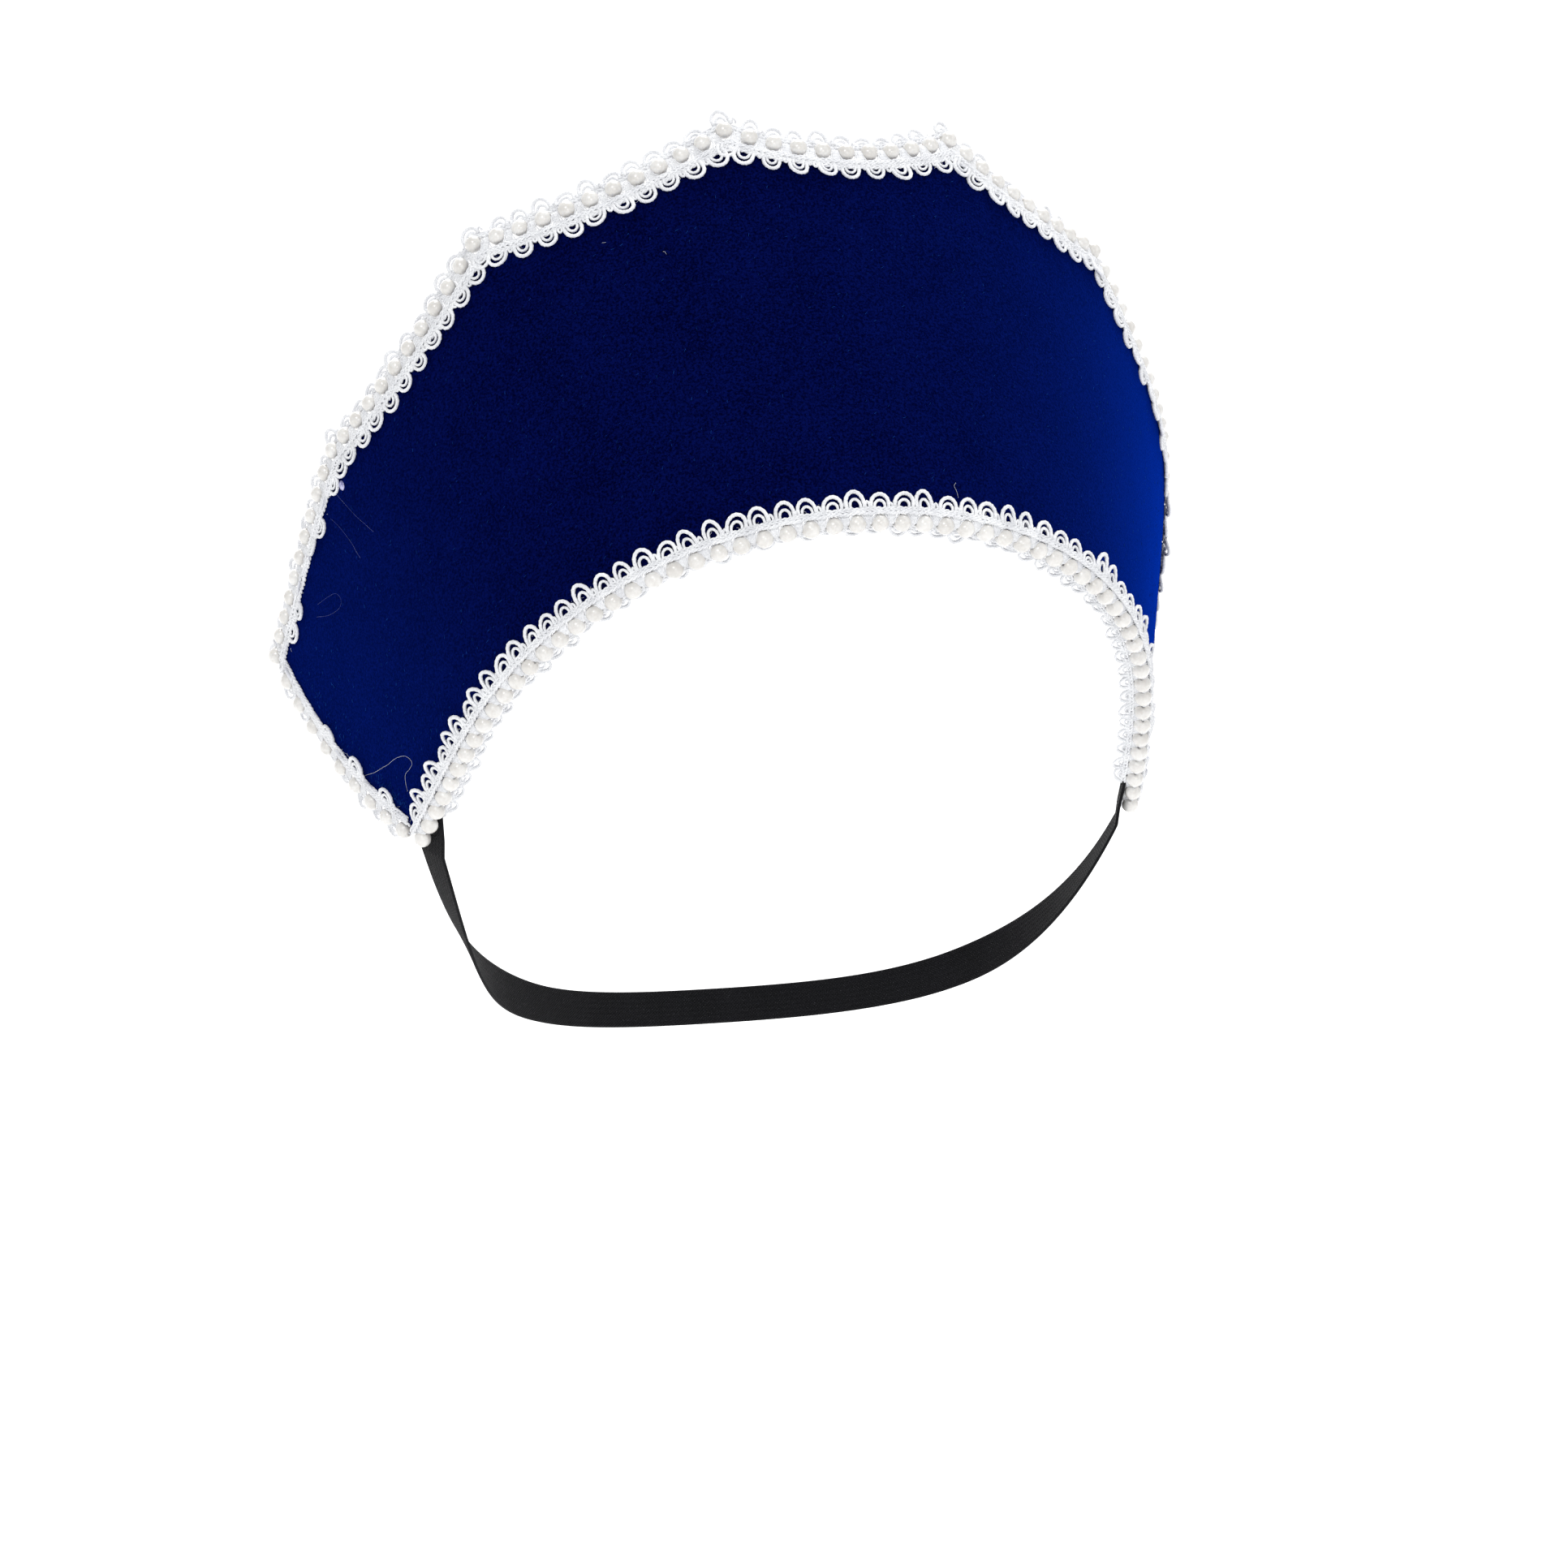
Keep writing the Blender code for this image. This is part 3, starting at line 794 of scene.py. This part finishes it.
def loop_unit(name, shape):
    """The loops and the knot that belong to one pearl. Its own y runs away from the pearls."""
    tip = BIG_LOOP_FOOT + (BIG_LOOP_TIP - BIG_LOOP_FOOT) * shape.reach
    big = arch(BIG_LOOP_HALF * shape.width, BIG_LOOP_FOOT, tip, shape.lean, shape.rise, 19)
    lumps = BIG_LOOP_RADIUS * (1.0 + 0.08 * np.cos(np.arange(19) * math.pi))
    inner_tip = BIG_LOOP_FOOT + (SMALL_LOOP_TIP - BIG_LOOP_FOOT) * shape.reach
    half = SMALL_LOOP_HALF * shape.width
    small = arch(half, BIG_LOOP_FOOT, inner_tip, shape.lean / 2, shape.rise / 3, 11)
    thin = SMALL_LOOP_RADIUS * (1.0 + 0.06 * np.cos(np.arange(11) * math.pi))
    knot = arch(KNOT_HALF, BIG_LOOP_FOOT, KNOT_REACH, 0.0, shape.rise / 3, 7)
    knot[:, 0] += USUAL_STEP / 2
    return unit_object(name, tube_mesh(name, (
        (big, lumps), (small, thin), (knot, np.full(7, KNOT_RADIUS)),
    ), 6))


def cord_tree():
    """A round cord along a line, that keeps how far along it each point lies."""
    tree, given, out = new_group(
        "cord_on_line", "GeometryNodeTree",
        {"Line": "Geometry", "Radius": "Float", "Sides": "Int", "Finish": "Material"},
        {"Result": "Geometry"},
    )
    line = add_node(tree, "GeometryNodeMeshToCurve", {"Mesh": given["Line"]})
    length = add_node(tree, "GeometryNodeSplineParameter")
    mark = add_node(tree, "GeometryNodeStoreNamedAttribute", {
        "Geometry": line.outputs[0], "Name": "along", "Value": length.outputs["Length"],
    }, data_type="FLOAT")
    ring = add_node(tree, "GeometryNodeCurvePrimitiveCircle", {
        "Resolution": given["Sides"], "Radius": given["Radius"],
    })
    tube = add_node(tree, "GeometryNodeCurveToMesh", {
        "Curve": mark.outputs["Geometry"], "Profile Curve": ring.outputs["Curve"],
        "Fill Caps": True,
    })
    soft = add_node(tree, "GeometryNodeSetShadeSmooth", {"Geometry": tube.outputs["Mesh"]})
    return finished(tree, soft.outputs[0], given, out)


CORD_ON_LINE = cord_tree()


def cords(name, lines, radius, sides, finish):
    """Round cords along several lines of points, as one piece."""
    mesh = bpy.data.meshes.new(name)
    points, edges = [], []
    for line in lines:
        edges += [(len(points) + k, len(points) + k + 1) for k in range(len(line) - 1)]
        points += np.asarray(line).tolist()
    mesh.from_pydata(points, edges, [])
    inputs = {"Radius": radius, "Sides": sides, "Finish": finish}
    return made_plain(add_object(name, mesh), CORD_ON_LINE, inputs)


def joined(name, items):
    """Several pieces made one."""
    solid = bmesh.new()
    for item in items:
        solid.from_mesh(item.data)
    mesh = bpy.data.meshes.new(name)
    finishes = list(items[0].data.materials)
    solid.to_mesh(mesh)
    solid.free()
    for item in items:
        bpy.data.objects.remove(item)
    mesh.shade_smooth()
    return add_object(name, mesh, *finishes)


def half_frames(rim, places, angle, reach):
    """Like rim_frames, for a half of the braid that leaves the pearls at an angle out of the
    velvet's plane. No angle means the front half, which lies on the velvet."""
    if angle is None:
        spots, (along, away, nearer) = rim_frames(rim, places, -reach, FRONT_DEPTH)
        return spots, (-along, -away, nearer)
    out, depth = reach * math.cos(angle), reach * math.sin(angle)
    spots, (along, away, nearer) = rim_frames(rim, places, out, depth)
    lifted = away * math.cos(angle) - nearer * math.sin(angle)
    return spots, (along, lifted, np.cross(along, lifted))


cotton = mottled(
    "white_gimp_cord", fine=1900.0, broad=240.0, cloud=0.45,
    low=GIMP_COLOUR, high=GIMP_LIGHT_COLOUR, depth=0.0001,
    levels={
        "Roughness": 0.8, "Sheen Weight": 0.3, "Subsurface Weight": 0.15,
        "Subsurface Radius": (0.001, 0.001, 0.001),
    },
)
cord_run = add_node(cotton.tree, "ShaderNodeAttribute", attribute_name="along").outputs["Fac"]
cord_turns = worked_out(cotton.tree, "MULTIPLY", cord_run, math.tau / GIMP_TWIST)
gimp = raised(cotton, worked_out(cotton.tree, "SINE", cord_turns), 0.5)

loop_units = [loop_unit(f"loops_{k + 1}", shape) for k, shape in enumerate(LOOP_SHAPES)]

BraidHalf = namedtuple(
    "BraidHalf", "name node rim places angle shift reach first last proud trim seed"
)
BRAID_HALVES = (
    BraidHalf("outer_front_gimp", "outer_braid_front", OUTER_RIM, OUTER_PLACES,
              None, 0.0017, 0.90, 0, 4, OUTER_PEARLS_PROUD, 0.005, 11),
    BraidHalf("outer_back_gimp", "outer_braid_back", OUTER_RIM, OUTER_PLACES,
              OUTER_BACK_ANGLE, 0.0011, 0.88, 1, 4, OUTER_PEARLS_PROUD, 0.0105, 12),
    BraidHalf("inner_front_gimp", "inner_braid_front", INNER_RIM, INNER_PLACES,
              None, 0.0, 1.0, 1, 4, 0.0, 0.0, 13),
    BraidHalf("inner_back_gimp", "inner_braid_back", INNER_RIM, INNER_PLACES,
              INNER_BACK_ANGLE, 0.0010, 0.68, 1, 3, 0.0, 0.0105, 14),
)
# How far the front loops of the outer rim stand out by each pearl from the left tip on, where
# many were caught short by the glue. The rest stand out in full.
GLUED_LOOPS = (
    0.45, 1.0, 0.5, 1.0, 0.4, 0.75, 0.5, 0.45, 0.4, 0.5,
    0.5, 1.0, 1.0, 0.4, 0.4, 0.75, 0.85, 0.45, 0.9,
)
WebThread = namedtuple("WebThread", "front middle back")
WEB_THREADS = (
    WebThread(-0.0025, -0.9, 0.0021),
    WebThread(-0.0014, -0.6, 0.0008),
    WebThread(-0.0007, 0.3, 0.0014),
    WebThread(-0.0002, -0.2, -0.0005),
    WebThread(0.0004, 0.5, 0.0001),
    WebThread(0.0009, -0.4, -0.0013),
    WebThread(0.0015, 0.6, -0.0007),
    WebThread(0.0024, 0.9, -0.0022),
)
WEB_FRONT_REACH = 0.0022
WEB_FRONT_DEPTH = -0.0018
WEB_BACK_REACH = 0.0022
WEB_RADIUS = 0.00027
STRING_RADIUS = 0.00032
STRING_STEP = 0.0025


def plied_strands(half, cord, whole):
    """The two strands of one cord of the band, twisted round each other along the rim."""
    run = np.arange(half.trim, whole - half.trim, STRAND_STEP)
    reach = half.shift + cord.reach
    spots, (_, away, up) = half_frames(half.rim, run, half.angle, reach)
    wander = 0.00012 * np.sin(run * math.tau / USUAL_STEP + cord.twist * 1e4)
    middle = spots + away * wander[:, None] + up * cord.rise
    for start in (0.0, math.pi):
        angle = (run * math.tau / cord.twist + start)[:, None]
        yield middle + (away * np.cos(angle) + up * np.sin(angle)) * STRAND_OFFSET


def web_lines(front, back, whole):
    """Threads that cross from the front half to the back one between each two pearls."""
    middles = (front.places[:-1] + front.places[1:]) / 2
    gaps = np.diff(front.places) / 2 - PEARL_RADIUS
    inside = (middles > front.trim) & (middles < whole - front.trim)
    middles, gaps = middles[inside], gaps[inside]
    reach = WEB_BACK_REACH + back.shift
    out, deep = reach * math.cos(back.angle), reach * math.sin(back.angle)
    for thread in WEB_THREADS:
        stations = (
            (thread.front, -WEB_FRONT_REACH - front.shift, WEB_FRONT_DEPTH),
            (thread.front * 0.5, -0.0010, -0.0012),
            (thread.middle * gaps, 0.0002 + front.proud, -0.0003 - front.proud),
            (thread.back * 0.5, out * 0.6, deep * 0.55),
            (thread.back, out, deep),
        )
        rows = [rim_frames(front.rim, middles + s, o, d)[0] for s, o, d in stations]
        for points in np.stack(rows, 1):
            yield smooth_line(points, 2)


def smooth_line(points, steps):
    """A soft curve through a few points."""
    points = np.asarray(points, float)
    padded = np.vstack((2 * points[0] - points[1], points, 2 * points[-1] - points[-2]))
    made = []
    for k in range(len(points) - 1):
        a, b, c, d = padded[k : k + 4]
        for t in np.linspace(0, 1, steps, endpoint=False):
            bow = (2 * a - 5 * b + 4 * c - d) * t * t + (3 * b - a - 3 * c + d) * t**3
            made.append(0.5 * (2 * b + (c - a) * t + bow))
    return np.array(made + [points[-1]])


for half in BRAID_HALVES:
    whole = lengths_along(half.rim)[-1]
    band = BAND_CORDS[half.first : half.last]
    strands = [line for cord in band for line in plied_strands(half, cord, whole)]
    parts = [cords(half.name + "_band", strands, STRAND_RADIUS, 5, gimp)]
    inside = (half.places > half.trim) & (half.places < whole - half.trim)
    spots, axes = half_frames(half.rim, half.places[inside], half.angle, half.shift)
    steps = np.gradient(half.places)[inside] / USUAL_STEP
    reaches = np.full_like(steps, half.reach)
    if half.name == "outer_front_gimp":
        reaches[: len(GLUED_LOOPS)] *= GLUED_LOOPS
    stretch = np.stack((0.5 + 0.5 * steps, reaches, np.ones_like(steps)), -1)
    parts.append(
        set_units(
            half.name + "_loops", spots, axes, stretch, loop_units, 0.08, 0.06, half.seed, gimp
        )
    )
    if half.angle is None:
        back = BRAID_HALVES[BRAID_HALVES.index(half) + 1]
        lines = list(web_lines(half, back, whole))
        parts.append(cords(half.name + "_web", lines, WEB_RADIUS, 4, gimp))
        run = np.arange(half.trim, whole - half.trim, STRING_STEP)
        thread = rim_frames(half.rim, run, half.proud, -half.proud)[0]
        parts.append(cords(half.name + "_string", [thread], STRING_RADIUS, 5, gimp))
    braid = joined(half.name, parts)
    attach(braid, "root")
    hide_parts(half.node)


# The elastic: a ribbed black band, sewn behind both tips and led down and round the nape.
ELASTIC_WIDTH = 0.011
ELASTIC_THICKNESS = 0.001
ELASTIC_SEWN = 0.016
ELASTIC_SEWN_DEPTH = 0.0028
ELASTIC_EDGE_DEPTH = 0.0035
ELASTIC_SLANT = math.radians(35.0)
ELASTIC_WAY = np.array((math.sin(ELASTIC_SLANT), -math.cos(ELASTIC_SLANT)))
RIGHT_TIP = inner_rim(1)[-1]
ELASTIC_LEAVES = Vector((-0.32, 0.30, -0.90))
ELASTIC_START = 0.005
NAPE = Vector((0.0, 0.080, -0.118))
ELASTIC_TIP_PULL = 0.055
ELASTIC_NAPE_PULL = 0.070
ELASTIC_STEPS = 90
ELASTIC_RIBS = 7
ELASTIC_THREAD = 0.0005
ELASTIC_COLOUR = (0.003, 0.003, 0.004)
ELASTIC_LIGHT_COLOUR = (0.006, 0.006, 0.008)


def elastic_line():
    """The elastic's middle line from the right tip round to the left one, and the way its
    outer face looks at each point."""
    *sewn, start = (
        Vector(bent(RIGHT_TIP + ELASTIC_WAY * run, depth))
        for run, depth in (
            (-ELASTIC_SEWN, ELASTIC_SEWN_DEPTH), (-ELASTIC_SEWN / 2, ELASTIC_SEWN_DEPTH),
            (0.0, ELASTIC_EDGE_DEPTH), (ELASTIC_START, ELASTIC_EDGE_DEPTH),
        )
    )
    pull = ELASTIC_LEAVES.normalized() * ELASTIC_TIP_PULL
    handles = (start, start + pull, NAPE + Vector((ELASTIC_NAPE_PULL, 0, 0)), NAPE)
    curve = []
    for k in range(ELASTIC_STEPS + 1):
        t = k / ELASTIC_STEPS
        weights = ((1 - t) ** 3, 3 * t * (1 - t) ** 2, 3 * t * t * (1 - t), t**3)
        curve.append(sum((h * w for h, w in zip(handles, weights)), Vector()))
    side = (Vector(bent(RIGHT_TIP, -0.01)) - Vector(bent(RIGHT_TIP, 0.0))).normalized()
    right = sewn + curve
    faces = []
    for k in range(len(right)):
        share = max(k - len(sewn), 0) / ELASTIC_STEPS
        faces.append(side.lerp(Vector((0, 1, 0)), share * share * (3 - 2 * share)))
    mirror = Vector((-1, 1, 1))
    points = right + [p * mirror for p in right[-2::-1]]
    return points, faces + [f * mirror for f in faces[-2::-1]]


def elastic_mesh():
    """A flat band with a rib along it for every cord of rubber inside."""
    points, faces = elastic_line()
    across = np.linspace(-1, 1, 4 * ELASTIC_RIBS + 1)
    rib = 0.75 + 0.25 * np.abs(np.sin((across + 1) / 2 * math.pi * ELASTIC_RIBS))
    section = [*zip(across, rib), *zip(across[::-1], -rib)]
    verts, pattern, run = [], [], 0.0
    for k, (point, face) in enumerate(zip(points, faces)):
        way = (points[min(k + 1, len(points) - 1)] - points[max(k - 1, 0)]).normalized()
        face = (face - way * face.dot(way)).normalized()
        side = way.cross(face)
        run += (point - points[max(k - 1, 0)]).length
        for a, r in section:
            verts.append(point + side * a * ELASTIC_WIDTH / 2 + face * r * ELASTIC_THICKNESS / 2)
            pattern.append((a * ELASTIC_WIDTH / 2, run))
    return smooth_mesh("elastic_webbing", verts, ring_faces(len(points), len(section)), pattern)


elastic = woven(
    mottled(
        "black_elastic_weave", fine=1500.0, broad=90.0, cloud=0.3,
        low=ELASTIC_COLOUR, high=ELASTIC_LIGHT_COLOUR, depth=0.00012,
        levels={"Roughness": 0.7, "Sheen Weight": 0.02, "Specular IOR Level": 0.12}, pattern=True,
    ),
    ELASTIC_THREAD, 2.5,
)

elastic_webbing = add_object("elastic_webbing", elastic_mesh(), elastic)
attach(elastic_webbing, "root")
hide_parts("nape_elastic")
elastic_points, _ = elastic_line()
elastic_length = sum((b - a).length for a, b in zip(elastic_points, elastic_points[1:]))

# The stitches that hold the elastic: black thread, in a zigzag over each sewn end.
STITCH_RADIUS = 0.00018
STITCH_COUNT = 9
STITCH_LENGTH = 0.0011
STITCH_REACH = 0.36
STITCH_MARGIN = 0.002
STITCH_DEPTH = ELASTIC_SEWN_DEPTH + ELASTIC_THICKNESS / 2 + 0.00012

across = np.array((-ELASTIC_WAY[1], ELASTIC_WAY[0])) * ELASTIC_WIDTH
zigzag = np.array([
    RIGHT_TIP - ELASTIC_WAY * (ELASTIC_SEWN - STITCH_MARGIN - k * STITCH_LENGTH)
    + across * (STITCH_REACH if k % 2 else -STITCH_REACH)
    for k in range(STITCH_COUNT)
])
stitch_lines = [bent(zigzag * (side, 1), STITCH_DEPTH) for side in (-1, 1)]
stitches = cords("elastic_stitches", stitch_lines, STITCH_RADIUS, 5, elastic)
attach(stitches, "root")


# Fluff: short fibres rubbed from the velvet's pile and the braid's cotton, that cling to both.
# They lie at random, and are made by the same tree as the pearls.
FIBRE_BENDS = (0.0002, -0.00015, 0.0003)
FIBRE_LENGTH = 0.0010
FIBRE_RADIUS = 0.000024
VELVET_FIBRES = 1500
PILE_FIBRE_BENDS = (0.00003, -0.00004, 0.00005)
PILE_FIBRE_LENGTH = 0.0007
PILE_FIBRE_RADIUS = 0.000042
PILE_MARGIN = 0.004
PILE_LIFT = 0.00008
PILE_NUDGE = 0.0004
NAP_ANGLE = math.radians(50.0)
NAP_SPREAD = math.radians(40.0)
BRAID_FIBRES = 850
BRAID_FIBRE_REACH = (0.0018, 0.0058)
BRAID_FIBRE_LIFT = (0.0002, 0.0009)
VELVET_FIBRE_DARK = (0.002, 0.012, 0.090)
VELVET_FIBRE_COLOUR = (0.010, 0.060, 0.320)

blue_fibre = mottled(
    "blue_pile_fibre", fine=900.0, broad=40.0, cloud=0.5,
    low=VELVET_FIBRE_DARK, high=VELVET_FIBRE_COLOUR, depth=0.00001,
    levels={"Roughness": 0.8, "Specular IOR Level": 0.0},
).material


def fibre_set(name, bends, length, radius):
    """Short fibres of one length, each with its own bend."""
    share = np.linspace(-1, 1, 5)
    units = []
    for k, bow in enumerate(bends):
        line = np.stack((share * length / 2, bow * (1 - share**2), 0.3 * bow * share**3), -1)
        unit = f"{name}_{k + 1}"
        units.append(unit_object(unit, tube_mesh(unit, [(line, [radius] * 5)], 3)))
    return units


fibre_units = fibre_set("fibre", FIBRE_BENDS, FIBRE_LENGTH, FIBRE_RADIUS)
pile_units = fibre_set("pile", PILE_FIBRE_BENDS, PILE_FIBRE_LENGTH, PILE_FIBRE_RADIUS)


def loose_axes(ways, nearer, chance, middle=math.pi, spread=math.pi):
    """Axes for fibres that lie flat on a surface, turned so far from the ways, give or take
    the spread."""
    turns = chance.uniform(middle - spread, middle + spread, len(ways))[:, None]
    other = np.cross(nearer, ways)
    along = ways * np.cos(turns) + other * np.sin(turns)
    return along, np.cross(nearer, along), nearer


chance = np.random.default_rng(21)
velvet_low, velvet_high = cover_rungs(VELVET_INSET + PILE_MARGIN)
rungs = chance.integers(4, len(velvet_low) - 4, VELVET_FIBRES)
share = chance.uniform(0.03, 0.97, VELVET_FIBRES)[:, None]
spots_flat = velvet_low[rungs] * (1 - share) + velvet_high[rungs] * share
spots = bent(spots_flat, VELVET_FRONT - PILE_LIFT)
ways = one_long(bent(spots_flat + (PILE_NUDGE, 0), VELVET_FRONT - PILE_LIFT) - spots)
nearer = one_long(spots - bent(spots_flat, 0.0))
axes = loose_axes(ways, nearer, chance, NAP_ANGLE, NAP_SPREAD)
velvet_fluff = set_units("velvet_fluff", spots, axes, 1.0, pile_units, 0.12, 0.45, 22, blue_fibre)
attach(velvet_fluff, "root")

fluff_spots, fluff_axes = [], []
for half in BRAID_HALVES:
    whole = lengths_along(half.rim)[-1]
    count = round(BRAID_FIBRES * whole / 2.0)
    run = chance.uniform(half.trim, whole - half.trim, count)
    reach = chance.uniform(*BRAID_FIBRE_REACH, count)
    spots, (along, away, up) = half_frames(half.rim, run, half.angle, half.shift + reach)
    lift = chance.uniform(*BRAID_FIBRE_LIFT, count)[:, None]
    fluff_spots.append(spots + up * lift)
    fluff_axes.append(np.stack(loose_axes(along, up, chance)))
braid_fluff = set_units(
    "braid_fluff", np.concatenate(fluff_spots), np.concatenate(fluff_axes, 1), 1.0,
    fibre_units, 0.9, 0.5, 23, gimp,
)
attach(braid_fluff, "root")


# Loose ends: a few threads of the braid's cotton, a few fine fibres drawn out of the velvet's
# edge, and a spot of glue by the left edge. Each row is one on the flat pattern, in millimetres.
COTTON_ENDS = (
    ((-197.5, -20.4), (-194, -20.6), (-189, -21.3), (-183.5, -21.4), (-180, -21.5),
     (-175.8, -21.2), (-171, -21.8), (-168.5, -23.2), (-167.8, -25), (-170, -26),
     (-173.3, -26.7), (-174.8, -28.7), (-175.5, -31.2)),
    ((24, 7.5), (23.5, 9.3), (23, 10.8), (24, 12)),
    ((-46.3, 88.4), (-45.8, 88.0), (-45.5, 87.4)),
    ((-62.4, 94.8), (-61.8, 94.5), (-61.3, 94.7)),
)
FINE_ENDS = (
    ((-166, 56.3), (-162.5, 51.5), (-158.5, 46), (-155.5, 42.3), (-153.5, 39.5)),
    ((-171, 50), (-168.2, 47), (-166.2, 44.2), (-164, 40.3), (-163, 37), (-162.5, 35)),
    ((-190.2, 30.5), (-185.5, 30.5), (-179.5, 30.2), (-177, 28.5), (-177.3, 26.5), (-180, 25.5),
     (-186, 25.8), (-192.5, 27.5)),
)
COTTON_END_RADIUS = 0.00003
FINE_END_RADIUS = 0.00002
LOOSE_END_LIFT = 0.0006
GLUE_PLACE = (-0.1619, 0.0566)
GLUE_SIZE = (0.0011, 0.0015, 0.0005)

fine_fibre = mottled(
    "fine_pale_fibre", fine=900.0, broad=60.0, cloud=0.5,
    low=(0.06, 0.07, 0.20), high=(0.24, 0.26, 0.46), depth=0.00001,
    levels={"Roughness": 0.6, "Specular IOR Level": 0.2},
).material

for name, rows, radius, finish, slot in (
    ("loose_ends", COTTON_ENDS, COTTON_END_RADIUS, gimp, "white_gimp"),
    ("fine_ends", FINE_ENDS, FINE_END_RADIUS, fine_fibre, "blue_velvet"),
):
    loose_lines = []
    for row in rows:
        line = smooth_line([(x, y, 0.0) for x, y in row], 6)[:, :2] / 1000
        lift = np.sin(np.linspace(0.0, math.pi, len(line)) * 0.93) * LOOSE_END_LIFT
        loose_lines.append(bent(line, VELVET_FRONT - radius - lift))
    ends = cords(name, loose_lines, radius, 5, finish)
    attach(ends, "root")

glue = mottled(
    "dried_glue", fine=1500.0, broad=500.0, cloud=0.5,
    low=(0.16, 0.16, 0.36), high=(0.55, 0.55, 0.78), depth=0.0001,
    levels={"Roughness": 0.3, "Coat Weight": 0.5},
).material

drop = bmesh.new()
bmesh.ops.create_uvsphere(drop, u_segments=14, v_segments=8, radius=1.0)
flat_spots = np.array([vertex.co for vertex in drop.verts]) * GLUE_SIZE
on_velvet = bent(flat_spots[:, :2] + GLUE_PLACE, VELVET_FRONT - flat_spots[:, 2])
drop.verts.index_update()
drop_faces = [[vertex.index for vertex in face.verts] for face in drop.faces]
drop.free()
glue_spot = add_object("glue_spot", smooth_mesh("glue_spot", on_velvet, drop_faces), glue)
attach(glue_spot, "root")


for unit in [pearl_unit] + loop_units + fibre_units + pile_units:
    bpy.data.objects.remove(unit)
